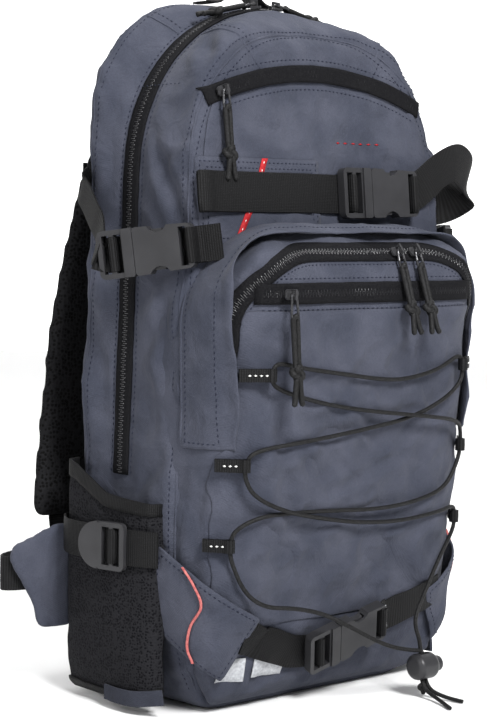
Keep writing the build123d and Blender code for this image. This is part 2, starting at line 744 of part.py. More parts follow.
def side_straps():
    """Webbing on each side: a sloping rear length, and a short length sewn to the front corner."""
    rear_plane = Plane(origin=(-141.5, 27, 342), x_dir=(0.20, 0.73, 0.65), z_dir=(-0.95, 0.31, -0.06))
    rear = rear_plane.location * slab((-25, 33), (-SIDE_WEB / 2, SIDE_WEB / 2), (0, WEB_THICK))
    tab = slab((-137, -124), (44, 49.6), (350, 380))
    front = SIDE_SEAT * slab((20, 60), (-SIDE_WEB / 2, SIDE_WEB / 2), (-2.0, -0.5))
    rear = (rear + tab) - hull(0)
    front = front - hull(PANEL_THICK + PATCH_THICK + 0.1) - pocket(FLAP_LOW + FLAP_THICK + 0.3)
    left = [rear, front.solids().sort_by(SortBy.VOLUME)[-1]]
    return solids(*left, *[mirror_x(piece) for piece in left])


# ---- side pockets and their straps --------------------------------------------------------------

MESH_PLAN = [(-112, -44), (-135, -42), (-147, -6), (-148, 38), (-140, 55.6), (-112, 52)]
MESH_PLAN_RADII = [1, 8, 30, 20, 8, 1]
MESH_FRONT = [(-112, 4), (-137, 4), (-149, 60), (-146, 120), (-139, 186), (-112, 186)]
MESH_FRONT_RADII = [1, 14, 60, 120, 10, 1]
MESH_THICK = 1.5
BINDING_HIGH = 14.0
MESH_RIM = [(60, 172), (44, 169), (7, 153), (-40, 149)]


def bulge(grow):
    """The outer shape of a full left side pocket."""
    plan = z_prism(MESH_PLAN, MESH_PLAN_RADII, 0, 200, grow)
    front = y_prism(MESH_FRONT, MESH_FRONT_RADII, -60, 80, grow)
    return plan & front


def mesh_area(drop):
    """The side-on area of the pocket, its rim lowered by a distance."""
    rim = [(y, z - drop) for y, z in MESH_RIM]
    points = [(-15, 3), (70, 3)] + [(70, rim[0][1])] + rim[1:3] + [(-34, rim[3][1])]
    return Pos(-130, 0, 0) * x_prism(points, [2] * len(points), 24)


def mesh_pocket_left():
    """An open-topped mesh pocket with a bound elastic rim."""
    mesh = (bulge(0) - bulge(-MESH_THICK)) & mesh_area(BINDING_HIGH)
    binding = (bulge(0.5) - bulge(-MESH_THICK - 0.5)) & (mesh_area(0) - mesh_area(BINDING_HIGH))
    return (mesh + binding) - hull(0)


POCKET_STRAP_PATH = [(-142.6, 58.4), (-150.6, 40), (-150.2, -4.5), (-144, -28.5)]


def pocket_strap():
    """The webbing across a side pocket, sewn behind it and in front of it."""
    return ribbon(POCKET_STRAP_PATH, SIDE_WEB, WEB_THICK, Plane.XY.offset(117), 4) - hull(0)


def ladder_seat():
    """The seat of the left ladder lock: x forward along its webbing, z outward."""
    return Plane(origin=(-152.6, -2, 117), x_dir=(0.25, -0.968, 0), z_dir=(-0.968, -0.25, 0)).location


LADDER_HINGE_X = 14.0


def ladder_lock():
    """A ladder lock on the plane z = 0: a frame with two slots and a round thumb plate."""
    half = 16.5
    frame = closed([(-4, -half), (19, -half), (19, half), (-4, half)], [2, 4, 4, 2], Plane.XY)
    frame = extrude(frame, amount=4, dir=(0, 0, 1))
    frame -= slab((0, 6.4), (-13.2, 13.2), (-1, 9))
    frame -= slab((9.6, 15.2), (-13.2, 13.2), (-1, 9))
    thumb = Pos(-4, 0, 2) * Cylinder(half, 4)
    return frame + (thumb & slab((-40, -4), (-40, 40), (0, 4)))


# ---- lower lash strap and its wings -------------------------------------------------------------

WING_VIEW = Plane(origin=(0, 0, 0), x_dir=(0.748, -0.664, 0), z_dir=(-0.664, -0.748, 0))
WING_OUTLINE = [(-84, 64), (-31, 26), (-4, 70), (-76, 120)]
WING_LOW = 4.2
WING_THICK = 2.4


def wing():
    """The left cloth wing that wraps the lower corner and carries the lash strap."""
    area = extrude(closed(WING_OUTLINE, [3, 5, 5, 3], WING_VIEW.offset(40)), amount=160, dir=WING_VIEW.z_dir)
    edge = closed([(-84, 60), (-72, 56), (-72, 122), (-76, 122)], [1] * 4, WING_VIEW.offset(40))
    root = extrude(edge, amount=160, dir=WING_VIEW.z_dir)
    low = hull(WING_LOW) + pocket(WING_LOW)
    high = hull(WING_LOW + WING_THICK) + pocket(WING_LOW + WING_THICK)
    cover = (high - low) & area
    seam = (low - hull(0) - pocket(0)) & area & root
    return cover + seam


def wings():
    """Both wings."""
    left = wing()
    return solids(left, mirror_x(left))


def lower_strap():
    """The two lengths of the lash strap, from the wings to their buckle."""
    layer = pocket(POUCH_SKIN + 0.3 + WEB_THICK) - pocket(POUCH_SKIN + 0.3)
    outline = [(-112, 47), (-40, 26), (-14, 24), (-14, 52), (-40, 54), (-112, 81)]
    left = layer & y_prism(outline, [1, 60, 1, 1, 60, 1], -140, -50)
    right = layer & y_prism([(6, 33), (112, 62), (112, 94), (6, 62)], [1, 1, 1, 1], -140, -50)
    return solids(left, right)


# ---- back, shoulder straps and hip fins ---------------------------------------------------------


def back_pads():
    """The padded back: a mesh panel, two columns and a wide lumbar pad, sewn as one piece."""
    outline = [(-112, 40), (-118, 380), (-80, 470), (80, 470), (118, 380), (112, 40)]
    panel = y_prism(outline, [12, 60, 40, 40, 60, 12], BACK_Y, 60)
    column = y_prism([(-92, 150), (-92, 430), (-22, 448), (-22, 150)], [20, 20, 16, 16], 60, 69)
    lumbar = y_prism([(-129, 36), (-129, 128), (129, 128), (129, 36)], [16, 16, 16, 16], BACK_Y, 69)
    pads = panel + column + mirror_x(column) + lumbar
    return pads


STRAP_PROFILE = [(60.8, 466), (74, 462), (96, 432), (110, 350), (112, 250), (105, 165), (98, 122)]
STRAP_AREA = [
    (-20, 470), (-72, 470), (-84, 400), (-102, 330), (-118, 250), (-132, 170), (-142, 120),
    (-92, 118), (-82, 170), (-68, 250), (-46, 330), (-26, 400),
]
STRAP_THICK = 11.0


def shoulder_strap_left():
    """A padded strap that arches off the top of the back and hangs down beside it."""
    side = ribbon(STRAP_PROFILE, 300, STRAP_THICK, Plane.YZ, 24)
    area = y_prism(STRAP_AREA, [6, 6, 90, 120, 200, 200, 10, 10, 200, 200, 120, 60], 40, 140)
    return (side & area) - slab((-200, 200), (0, 60), (0, 600))


def shoulder_webbing():
    """The adjusting webbing from the foot of each strap down to the lumbar pad."""
    path = [(99.4, 116), (94, 98), (86, 78), (70.2, 60), (70.2, 46)]
    left = Pos(-114, 0, 0) * ribbon(path, SIDE_WEB, WEB_THICK, Plane.YZ, 8)
    return solids(left, mirror_x(left))


def chest_strap():
    """The two lengths of the chest strap, one on each shoulder strap."""
    left = slab((-86, -4), (114.7, 116.2), (372 - CHEST_WEB / 2, 372 + CHEST_WEB / 2))
    return solids(left, mirror_x(left))


FIN_HINGE = (-129.6, 69.0)
FIN_OUTLINE = [(1, 46), (25, 46), (30, 66), (47, 97), (45, 106), (9, 123), (1, 121)]
FIN_THICK = 8.0
FIN_PLANE = Plane(origin=(FIN_HINGE[0], FIN_HINGE[1], 0), x_dir=(-0.95, 0.312, 0), z_dir=(0.312, 0.95, 0))


def hip_fin_left():
    """The padded hip fin, its rear face in line with its hinge."""
    face = closed(FIN_OUTLINE, [2, 6, 8, 5, 8, 6, 2], FIN_PLANE.offset(-FIN_THICK))
    return extrude(face, amount=FIN_THICK, dir=FIN_PLANE.z_dir)


def hip_webbing_left():
    """The hip belt webbing behind the fin, folded back behind the pack."""
    start = FIN_PLANE.from_local_coords((14, 0, 1.1))
    tip = FIN_PLANE.from_local_coords((44, 0, 1.1))
    path = [(start.X, start.Y), (tip.X, tip.Y), (-166, 100), (-140, 108), (-88, 110.3)]
    return ribbon(path, SIDE_WEB, WEB_THICK, Plane.XY.offset(86), 4)


HIP_SEAT = Plane(origin=(-104, 111.3, 86), x_dir=(1, 0.03, 0), z_dir=(-0.03, 1, 0)).location
HIP_FEMALE_LONG = 43.0
HIP_MALE_LONG = 27.0


def haul_loop():
    """The carrying loop sewn across the top edge of the back."""
    path = [(-36, 498.6), (-26, 499.4), (-17, 506.4), (9, 507.0), (19, 499.4), (30, 498.6)]
    return ribbon(path, 20, 1.6, Plane.XZ.offset(-41), 8) - hull(0)


# ---- every node of the pack ---------------------------------------------------------------------


SIDE_FEMALE = buckle_female(SIDE_WEB)
SIDE_MALE = buckle_male(SIDE_WEB)

NODES = {
    "front_shell": front_shell(),
    "rear_shell": rear_shell(),
    "base_panel": base_panel(),
    "main_zip": main_zip(),
    "main_zip_slider_left": main_slider(-1),
    "main_zip_slider_right": main_slider(1),
    "main_zip_pull_left": main_pull(-1),
    "main_zip_pull_right": main_pull(1),
    "top_pocket_panel": top_pocket_panel(),
    "top_pocket_zip": top_pocket_zip(),
    "top_pocket_slider": top_pocket_slider(),
    "top_pocket_pull": top_pocket_pull(),
    "lash_patch": lash_patch(),
    "upper_strap": upper_strap(),
    "upper_buckle_female": UPPER_SEAT * buckle_female(UPPER_WEB),
    "upper_buckle_male": UPPER_SEAT * buckle_male(UPPER_WEB),
    "outer_pocket_band": outer_pocket_band(),
    "outer_pocket_face": outer_pocket_face(),
    "outer_pocket_zip": outer_pocket_zip(),
    "outer_pocket_flap": arch_flap(),
    "outer_zip_slider_left": outer_slider(OUTER_SLIDER_X[0]),
    "outer_zip_slider_right": outer_slider(OUTER_SLIDER_X[1]),
    "outer_zip_pull_left": outer_pull(OUTER_SLIDER_X[0]),
    "outer_zip_pull_right": outer_pull(OUTER_SLIDER_X[1]),
    "pouch_panel": pouch_panel(),
    "pouch_zip": pouch_zip(),
    "pouch_slider": pouch_slider(),
    "pouch_pull": pouch_pull(),
    "cord_loops": cord_loops(),
    "elastic_cord": elastic_cord(),
    "cord_lock_barrel": cord_lock_barrel(),
    "cord_lock_button": cord_lock_button(),
    "lash_wings": wings(),
    "lower_strap": lower_strap(),
    "lower_buckle_female": LOWER_SEAT * buckle_female(SIDE_WEB),
    "lower_buckle_male": LOWER_SEAT * buckle_male(SIDE_WEB),
    "side_straps": side_straps(),
    "side_buckle_female_left": SIDE_SEAT * SIDE_FEMALE,
    "side_buckle_male_left": SIDE_SEAT * SIDE_MALE,
    "side_buckle_female_right": mirror_x(SIDE_SEAT * SIDE_FEMALE),
    "side_buckle_male_right": mirror_x(SIDE_SEAT * SIDE_MALE),
    "mesh_pocket_left": mesh_pocket_left(),
    "mesh_pocket_right": mirror_x(mesh_pocket_left()),
    "pocket_straps": solids(pocket_strap(), mirror_x(pocket_strap())),
    "ladder_lock_left": ladder_seat() * ladder_lock(),
    "ladder_lock_right": mirror_x(ladder_seat() * ladder_lock()),
    "back_pads": back_pads(),
    "shoulder_strap_left": shoulder_strap_left(),
    "shoulder_strap_right": mirror_x(shoulder_strap_left()),
    "shoulder_webbing": shoulder_webbing(),
    "chest_strap": chest_strap(),
    "chest_buckle_female": CHEST_SEAT * buckle_female(CHEST_WEB),
    "chest_buckle_male": CHEST_SEAT * buckle_male(CHEST_WEB),
    "hip_fin_left": hip_fin_left(),
    "hip_fin_right": mirror_x(hip_fin_left()),
    "hip_webbing_left": hip_webbing_left(),
    "hip_webbing_right": mirror_x(hip_webbing_left()),
    "hip_buckle_female": HIP_SEAT * Pos(HIP_FEMALE_LONG, 0, 0) * Rot(0, 0, 180) * buckle_female(SIDE_WEB),
    "hip_buckle_male": mirror_x(HIP_SEAT * Pos(HIP_MALE_LONG, 0, 0) * buckle_male(SIDE_WEB)),
    "haul_loop": haul_loop(),
}

for name, piece in NODES.items():
    export_step(piece, os.path.join("parts", name + ".step"))
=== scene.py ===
"""Looks of a ski backpack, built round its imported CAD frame.

Lengths are written in millimetres, in the CAD's axes, and turned into metres: x runs across the pack,
y to its back and z up. Most cloth is laid over smooth forms by rays, with its folds and seams added.
"""

import json
import math

import bmesh
import bpy
from mathutils import Matrix, Vector, noise
from mathutils.bvhtree import BVHTree
from mathutils.geometry import delaunay_2d_cdt
from mathutils.kdtree import KDTree


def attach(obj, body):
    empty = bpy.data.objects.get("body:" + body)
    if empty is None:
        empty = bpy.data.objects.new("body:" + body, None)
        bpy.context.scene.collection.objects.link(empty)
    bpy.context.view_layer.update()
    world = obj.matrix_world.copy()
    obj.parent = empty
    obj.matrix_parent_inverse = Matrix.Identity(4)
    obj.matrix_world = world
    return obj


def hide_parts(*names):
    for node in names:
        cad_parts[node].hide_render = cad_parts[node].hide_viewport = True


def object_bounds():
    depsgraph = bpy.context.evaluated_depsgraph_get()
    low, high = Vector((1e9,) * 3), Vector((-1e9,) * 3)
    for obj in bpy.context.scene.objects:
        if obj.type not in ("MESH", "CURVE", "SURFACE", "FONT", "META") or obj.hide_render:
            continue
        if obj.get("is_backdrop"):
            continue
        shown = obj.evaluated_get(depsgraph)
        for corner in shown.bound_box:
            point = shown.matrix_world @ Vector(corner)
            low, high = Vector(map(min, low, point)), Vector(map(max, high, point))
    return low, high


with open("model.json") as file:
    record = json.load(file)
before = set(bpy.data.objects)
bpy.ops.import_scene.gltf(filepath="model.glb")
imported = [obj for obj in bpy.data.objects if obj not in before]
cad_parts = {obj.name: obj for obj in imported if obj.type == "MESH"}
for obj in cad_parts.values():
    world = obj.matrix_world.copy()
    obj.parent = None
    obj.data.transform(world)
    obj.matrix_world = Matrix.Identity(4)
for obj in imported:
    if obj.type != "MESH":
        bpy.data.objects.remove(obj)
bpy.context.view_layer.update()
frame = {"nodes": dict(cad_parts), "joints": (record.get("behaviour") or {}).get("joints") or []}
NODES = frame["nodes"]

MM = 0.001
X, Y, Z = Vector((1, 0, 0)), Vector((0, 1, 0)), Vector((0, 0, 1))
FAR = 0.4  # metres that a projecting ray starts away from its surface

# ---- outlines, repeated from the CAD ----

BODY_OUTLINE = [(-104, 0), (-132, 80), (-122, 340), (-121, 493)]
BODY_RADII = [26, 260, 400, 120.8]
POCKET_OUTLINE = [(-100, 2), (-124, 50), (-128, 200), (-127, 337)]
POCKET_RADII = [20, 150, 300, 74]
POUCH_ZIP_Z = 293
TOP_ZIP_RADIUS = 266
TOP_ZIP_Z = 445
WING_RIGHT = Vector((0.748, -0.664, 0))
WING_OUT = Vector((-0.664, -0.748, 0))
WING_OUTLINE = [(-84, 64), (-31, 26), (-4, 70), (-76, 120)]

# widths of the webbing, and of its turns inside a buckle
UPPER_WIDE, UPPER_INSIDE = 28, 27
STRAP_WIDE, STRAP_INSIDE = 25, 24
HAUL_WIDE, CHEST_WIDE = 20, 19


def at(x, y, z):
    """A point of the CAD's millimetres, in metres."""
    return Vector((x, y, z)) * MM


def rounded(points, radii, step=5.0):
    """A closed outline with its corners rounded, as evenly spaced points."""
    count = len(points)
    line = []
    for i in range(count):
        corner = Vector(points[i])
        before = (Vector(points[i - 1]) - corner).normalized()
        after = (Vector(points[(i + 1) % count]) - corner).normalized()
        half = before.angle(after) / 2
        radius = radii[i]
        reach = radius / math.tan(half)
        centre = corner + (before + after).normalized() * (radius / math.sin(half))
        start, end = corner + before * reach - centre, corner + after * reach - centre
        turn = start.angle_signed(end)
        pieces = max(1, round(abs(turn) * radius / step))
        for k in range(pieces + 1):
            spoke = Matrix.Rotation(-turn * k / pieces, 2) @ start
            line.append(centre + spoke)
    return evened(line + line[:1], step)


def evened(line, step):
    """A line of points with the same distance between neighbours."""
    out = [line[0].copy()]
    left = step
    for a, b in zip(line, line[1:]):
        length = (b - a).length
        done = 0.0
        while length - done >= left:
            done += left
            out.append(a.lerp(b, done / length))
            left = step
        left -= length - done
    return out
def heading(line, i):
    """The way a line runs at one of its points."""
    return line[min(i + 1, len(line) - 1)] - line[max(i - 1, 0)]

def ring(half_points, half_radii, low_z, inset=0.0, step=5.0):
    """A mirrored outline above a height, from left foot to right foot: points and outward normals."""
    points = half_points + [(-x, z) for x, z in reversed(half_points)]
    line = rounded(points, half_radii + half_radii[::-1], step)
    line = [p for p in line if p.y >= low_z]
    if line[0].x > 0:
        line.reverse()
    split = max(range(len(line) - 1), key=lambda i: (line[i + 1] - line[i]).length)
    if (line[split + 1] - line[split]).length > 3 * step:
        line = line[split + 1:] + line[:split + 1]
        if line[0].x > 0:
            line.reverse()
    out = []
    for i, p in enumerate(line):
        along = heading(line, i)
        normal = Vector((-along.y, along.x)).normalized()
        out.append((p - normal * inset, normal))
    return out


# ---- meshes ----
def new_object(name, data):
    """An object in the scene that shows some data."""
    obj = bpy.data.objects.new(name, data)
    bpy.context.scene.collection.objects.link(obj)
    return obj


def from_bmesh(name, bm):
    """An object made of a finished bmesh."""
    mesh = bpy.data.meshes.new(name)
    bm.to_mesh(mesh)
    bm.free()
    return new_object(name, mesh)
def make(name, verts, faces, uvs=None):
    """A mesh object from points, with one UV for each point if they are given."""
    mesh = bpy.data.meshes.new(name)
    mesh.from_pydata([tuple(v) for v in verts], [], faces)
    if uvs:
        layer = mesh.uv_layers.new(name="UVMap")
        for loop in mesh.loops:
            layer.data[loop.index].uv = uvs[loop.vertex_index]
    mesh.polygons.foreach_set("use_smooth", [True] * len(mesh.polygons))
    return new_object(name, mesh)


def baked(obj):
    """The object's modifiers applied to its mesh."""
    graph = bpy.context.evaluated_depsgraph_get()
    mesh = bpy.data.meshes.new_from_object(obj.evaluated_get(graph))
    obj.modifiers.clear()
    obj.data = mesh
    return obj


def modified(obj, kind, **settings):
    """One modifier added with its settings and applied."""
    mod = obj.modifiers.new(kind.lower(), kind)
    for key, value in settings.items():
        setattr(mod, key, value)
    return baked(obj)


def smooth_shaded(obj, angle=None):
    """Smooth shading, with edges sharper than an angle in degrees kept crisp."""
    mesh = obj.data
    mesh.polygons.foreach_set("use_smooth", [True] * len(mesh.polygons))
    if angle:
        mesh.set_sharp_from_angle(angle=math.radians(angle))
    return obj


def joined(name, objs):
    """Several mesh objects as one."""
    bm = bmesh.new()
    for obj in objs:
        bm.from_mesh(obj.data)
        bpy.data.objects.remove(obj)
    return from_bmesh(name, bm)


def convex(points):
    """A closed hull round some points, as an object."""
    bm = bmesh.new()
    for p in points:
        bm.verts.new(p)
    result = bmesh.ops.convex_hull(bm, input=bm.verts)
    loose = [g for g in result["geom_interior"] + result["geom_unused"] if isinstance(g, bmesh.types.BMVert)]
    bmesh.ops.delete(bm, geom=list(set(loose)), context="VERTS")
    return from_bmesh("hull", bm)


def node_points(*names):
    """The mesh points of some CAD nodes."""
    return [v.co.copy() for name in names for v in NODES[name].data.vertices]


def copied(name, node):
    """A new object with a copy of a CAD node's mesh."""
    obj = new_object(name, NODES[node].data.copy())
    obj.data.materials.clear()
    return obj


def remeshed(obj, voxel, smoothing=4):
    """An even mesh of a closed form, with its corners softened."""
    modified(obj, "REMESH", mode="VOXEL", voxel_size=voxel * MM)
    if smoothing:
        modified(obj, "SMOOTH", factor=0.5, iterations=smoothing)
    return smooth_shaded(obj)


def tree(*objs):
    """A search tree over the surface of some objects."""
    verts, faces = [], []
    for obj in objs:
        base = len(verts)
        verts += [v.co.copy() for v in obj.data.vertices]
        faces += [tuple(base + i for i in f.vertices) for f in obj.data.polygons]
    return BVHTree.FromPolygons(verts, faces)


def hit(surface, origin, way, default=None):
    """Where a ray from outside meets a surface: place and outward normal."""
    place, normal, _, _ = surface.ray_cast(origin, way)
    if place is None:
        return default
    if normal.dot(way) > 0:
        normal = -normal
    return place, normal


def wrap(surface, spot, y, angle):
    """A place on a surface seen from beside an outline (angle 0) to straight in front of it (angle 90)."""
    point, normal = spot
    turn = math.radians(angle)
    out = Vector((normal.x * math.cos(turn), -math.sin(turn), normal.y * math.cos(turn)))
    origin = at(point.x, y, point.y)
    return hit(surface, origin + out * FAR, -out, (origin, out))


def front(surface, x, z):
    """A place on a surface seen straight from the front."""
    origin = at(x, 0, z) - Y * FAR
    return hit(surface, origin, Y, (at(x, -60, z), -Y))


def raised(spot, lift):
    """A place moved out along its normal by some millimetres."""
    place, normal = spot
    return place + normal * lift * MM


def grid(name, rows, closed=False):
    """A surface through rows of points, with UVs in metres along it."""
    wide, verts, uvs, faces = len(rows[0]), [], [], []
    along = 0.0
    for i, row in enumerate(rows):
        if i:
            along += (row[wide // 2] - rows[i - 1][wide // 2]).length
        across = 0.0
        for j, p in enumerate(row):
            if j:
                across += (p - row[j - 1]).length
            verts.append(p)
            uvs.append((along, across))
    for i in range(len(rows) - 1):
        for j in range(wide - 1 + closed):
            a, b = i * wide + j, i * wide + (j + 1) % wide
            faces.append((a, b, b + wide, a + wide))
    return make(name, verts, faces, uvs)


def thick(obj, depth, offset=-1.0):
    """A surface given a thickness in millimetres, inward unless the offset says otherwise."""
    return modified(obj, "SOLIDIFY", thickness=depth * MM, offset=offset)


def flipped_out(obj, way):
    """A surface with its faces turned towards a direction."""
    total = Vector()
    for f in obj.data.polygons:
        total += f.normal * f.area
    if total.dot(way) < 0:
        obj.data.flip_normals()
    return obj


def mirrored_copy(obj, name):
    """The same piece on the other side of the pack."""
    mesh = obj.data.copy()
    mesh.transform(Matrix.Scale(-1, 4, X))
    mesh.flip_normals()
    return new_object(name, mesh)


def capped(obj, angle):
    """A tube or ribbon with both ends closed, its edges sharper than an angle kept crisp."""
    bm = bmesh.new()
    bm.from_mesh(obj.data)
    bmesh.ops.holes_fill(bm, edges=[e for e in bm.edges if e.is_boundary], sides=0)
    bm.to_mesh(obj.data)
    bm.free()
    return smooth_shaded(obj, angle)


def curved_path(points, step=2.0):
    """A smooth line through some points, evenly spaced, in metres."""
    line = []
    ends = [points[0] * 2 - points[1]] + list(points) + [points[-1] * 2 - points[-2]]
    for a, b, c, d in zip(ends, ends[1:], ends[2:], ends[3:]):
        pieces = max(2, int((c - b).length / (step * MM)))
        for k in range(pieces):
            t = k / pieces
            bend, twist = 2 * a - 5 * b + 4 * c - d, 3 * b - a - 3 * c + d
            line.append(0.5 * ((2 * b) + (c - a) * t + bend * t ** 2 + twist * t ** 3))
    line.append(points[-1].copy())
    return evened(line, step * MM) + [points[-1].copy()]


# a webbing's cross section in half widths and half depths, round from one edge
RIBBON_SECTION = [(-1, 0), (-0.97, 0.8), (-0.5, 1), (0, 1), (0.5, 1), (0.97, 0.8)]
RIBBON_SECTION += [(1, 0), (0.97, -0.8), (0, -1), (-0.97, -0.8)]


def ribbon(name, path, across, width, depth=1.5):
    """A webbing strap along a path, its flat side square to the direction it is wide in."""
    rows = []
    half, high = width * MM / 2, depth * MM / 2
    for i, p in enumerate(path):
        along = heading(path, i).normalized()
        side = across[i] if isinstance(across, list) else across
        side = (side - along * side.dot(along)).normalized()
        up = along.cross(side)
        rows.append([p + side * s * half + up * u * high for s, u in RIBBON_SECTION])
    return capped(grid(name, rows, closed=True), 50)


def rod(name, path, radius, sides=8, taper=True):
    """A round mesh tube along a path, radius in millimetres."""
    rows = []
    side = heading(path, 0).normalized().orthogonal().normalized()
    angles = [2 * math.pi * k / sides for k in range(sides)]
    for i, p in enumerate(path):
        along = heading(path, i).normalized()
        side = (side - along * side.dot(along)).normalized()
        up = along.cross(side)
        size = radius * MM * (0.55 if taper and i in (0, len(path) - 1) else 1.0)
        rows.append([p + (side * math.cos(a) + up * math.sin(a)) * size for a in angles])
    return capped(grid(name, rows, closed=True), 60)


def spot_along(points, normals, distance):
    """The place, the normal and the way on, a distance along a line."""
    for i, (a, b) in enumerate(zip(points, points[1:])):
        length = (b - a).length
        if distance <= length and length > 0:
            return a.lerp(b, distance / length), normals[i], (b - a).normalized()
        distance -= length
    return points[-1], normals[-1], (points[-1] - points[-2]).normalized()


def stitches(name, line, long=2.6, gap=1.4, radius=0.35):
    """A row of thread stitches along places on a surface."""
    points = [raised(s, radius * 0.6) for s in line]
    normals = [s[1] for s in line]
    verts, faces = [], []
    total = sum((b - a).length for a, b in zip(points, points[1:]))
    pitch = (long + gap) * MM
    for index in range(int(total / pitch)):
        middle, normal, along = spot_along(points, normals, (index + 0.5) * pitch)
        side = along.cross(normal).normalized() * radius * 1.3 * MM
        reach = along * long * MM / 2
        top = normal * radius * MM
        base = len(verts)
        verts += [middle - reach, middle + side, middle + reach, middle - side, middle + top, middle - top]
        for a, b in ((0, 1), (1, 2), (2, 3), (3, 0)):
            faces.append((base + a, base + b, base + 4))
            faces.append((base + b, base + a, base + 5))
    return make(name, verts, faces)


def coil(name, line, width=5.4, pitch=1.5):
    """The meshed coil of a zip: short rounded bars laid across it by turns from each side."""
    points = evened([raised(s, 1.0) for s in line], pitch * MM)
    source = KDTree(len(line))
    for i, s in enumerate(line):
        source.insert(s[0], i)
    source.balance()
    verts, faces = [], []
    for i in range(1, len(points) - 1):
        along = (points[i + 1] - points[i - 1]).normalized()
        normal = line[source.find(points[i])[1]][1]
        side = along.cross(normal).normalized()
        shift = side * (0.7 if i % 2 else -0.7) * MM
        middle = points[i] + shift
        reach, fat, high = side * (width / 2 - 0.7) * MM, along * 0.55 * MM, normal * 0.75 * MM
        base = len(verts)
        for s, k in ((-1, 0.5), (-0.75, 1), (0.75, 1), (1, 0.5)):
            for u, w in ((-1, 0), (0, 1), (1, 0), (0, -1)):
                verts.append(middle + reach * s + fat * u * k + high * w * k)
        for turn in range(3):
            for k in range(4):
                a, b = base + turn * 4 + k, base + turn * 4 + (k + 1) % 4
                faces.append((a, b, b + 4, a + 4))
        faces.append((base, base + 3, base + 2, base + 1))
        faces.append((base + 12, base + 13, base + 14, base + 15))
    return make(name, verts, faces)


def patch(name, outline, place, lift, step=4.5, crown=0.0, depth=1.6, wave=None):
    """A cloth panel over a surface: a mesh inside a flat outline, each point put where place() says."""
    lows = [min(p[k] for p in outline) for k in (0, 1)]
    highs = [max(p[k] for p in outline) for k in (0, 1)]
    edge = [Vector(p) for p in evened([Vector(p) for p in outline] + [Vector(outline[0])], step)][:-1]
    count = len(edge)
    points = list(edge)
    rows = int((highs[1] - lows[1]) / (step * 0.87)) + 1
    for r in range(rows):
        for c in range(int((highs[0] - lows[0]) / step) + 2):
            p = Vector((lows[0] + (c + 0.5 * (r % 2)) * step, lows[1] + r * step * 0.87))
            if all((p - e).length > step * 0.55 for e in edge):
                points.append(p)
    rim = [(i, (i + 1) % count) for i in range(count)]
    found = delaunay_2d_cdt(points, rim, [list(range(count))], 1, 1e-4)
    flat, faces = found[0], found[2]
    near = KDTree(count)
    for i, e in enumerate(edge):
        near.insert((e.x, e.y, 0), i)
    near.balance()
    verts = []
    for p in flat:
        inner = near.find((p.x, p.y, 0))[2]
        height = lift + crown * (1 - math.exp(-inner / 14))
        if wave:
            height += wave(p.x, p.y, inner)
        verts.append(raised(place(p.x, p.y), height))
    obj = make(name, verts, [tuple(f) for f in faces], [(p.x * MM, p.y * MM) for p in flat])
    return obj if depth == 0 else thick(obj, depth)


def displaced(obj, change):
    """Every point moved along its normal by change(point, normal) millimetres."""
    moves = [(v.co.copy(), v.normal.copy()) for v in obj.data.vertices]
    for v, (co, normal) in zip(obj.data.vertices, moves):
        v.co = co + normal * change(co, normal) * MM
    obj.data.update()
    return obj


def crumple(co, size, depth, seed=0.0):
    """Soft folds of cloth: ridged noise with rounded tops."""
    p = co / (size * MM) + Vector((seed, seed * 0.7, -seed))
    broad = noise.noise(p)
    fine = noise.noise(p * 2.3 + Vector((5, 1, 3)))
    ridge = 1 - abs(noise.noise(p * 1.3 + Vector((9, 2, 4)))) * 2
    return depth * (0.55 * broad + 0.2 * fine + 0.45 * (ridge ** 3 - 0.3))


def crease(co, start, end, width, depth):
    """One fold between two places: a valley with a low ridge beside it."""
    a, b = at(*start), at(*end)
    along = b - a
    t = max(0.0, min(1.0, (co - a).dot(along) / along.length_squared))
    gap = (co - (a + along * t)).length / (width * MM)
    fade = math.sin(math.pi * min(1.0, max(0.04, t * 0.9 + 0.08)))
    return depth * fade * (0.7 * math.exp(-((gap - 1.7) ** 2)) - 1.2 * math.exp(-gap * gap))
def creases(co, table, sign=1):
    """Several folds added up, from rows of two places, a width and a depth."""
    total = 0.0
    for xa, ya, za, xb, yb, zb, width, depth in table:
        total += crease(co, (sign * xa, ya, za), (sign * xb, yb, zb), width, depth)
    return total

def grooved(obj, lines, width, depth, puff, spread=14.0):
    """The surface pulled in along seams, and a little full between them."""
    spots = [s[0] for line in lines for s in line]
    near = KDTree(len(spots))
    for i, p in enumerate(spots):
        near.insert(p, i)
    near.balance()

    def change(co, normal):
        gap = near.find(co)[2] / MM
        return puff * (1 - math.exp(-gap / spread)) - depth * math.exp(-((gap / width) ** 2))

    return displaced(obj, change)


# ---- materials ----


def shader_of(mat):
    return mat.node_tree.nodes["Principled BSDF"].inputs


def material(name, color, roughness=0.7, metallic=0.0, sheen=0.0, shine=0.12):
    """A new material with its shader's constants set."""
    mat = bpy.data.materials.new(name)
    mat.use_nodes = True
    shader = shader_of(mat)
    shader["Base Color"].default_value = (*color, 1)
    shader["Roughness"].default_value = roughness
    shader["Metallic"].default_value = metallic
    shader["Sheen Weight"].default_value = sheen
    shader["Specular IOR Level"].default_value = shine
    mat.diffuse_color = (*color, 1)
    return mat


def node(mat, kind, **settings):
    """A shader node with its sockets or properties set."""
    made = mat.node_tree.nodes.new("ShaderNode" + kind)
    for key, value in settings.items():
        if key in made.inputs:
            made.inputs[key].default_value = value
        else:
            setattr(made, key, value)
    return made


def link(mat, a, b):
    mat.node_tree.links.new(a, b)


def texture(mat, kind, coords, output="Fac", **settings):
    """The output of a texture read at some coordinates."""
    made = node(mat, "Tex" + kind, **settings)
    link(mat, coords, made.inputs["Vector"])
    return made.outputs[output]


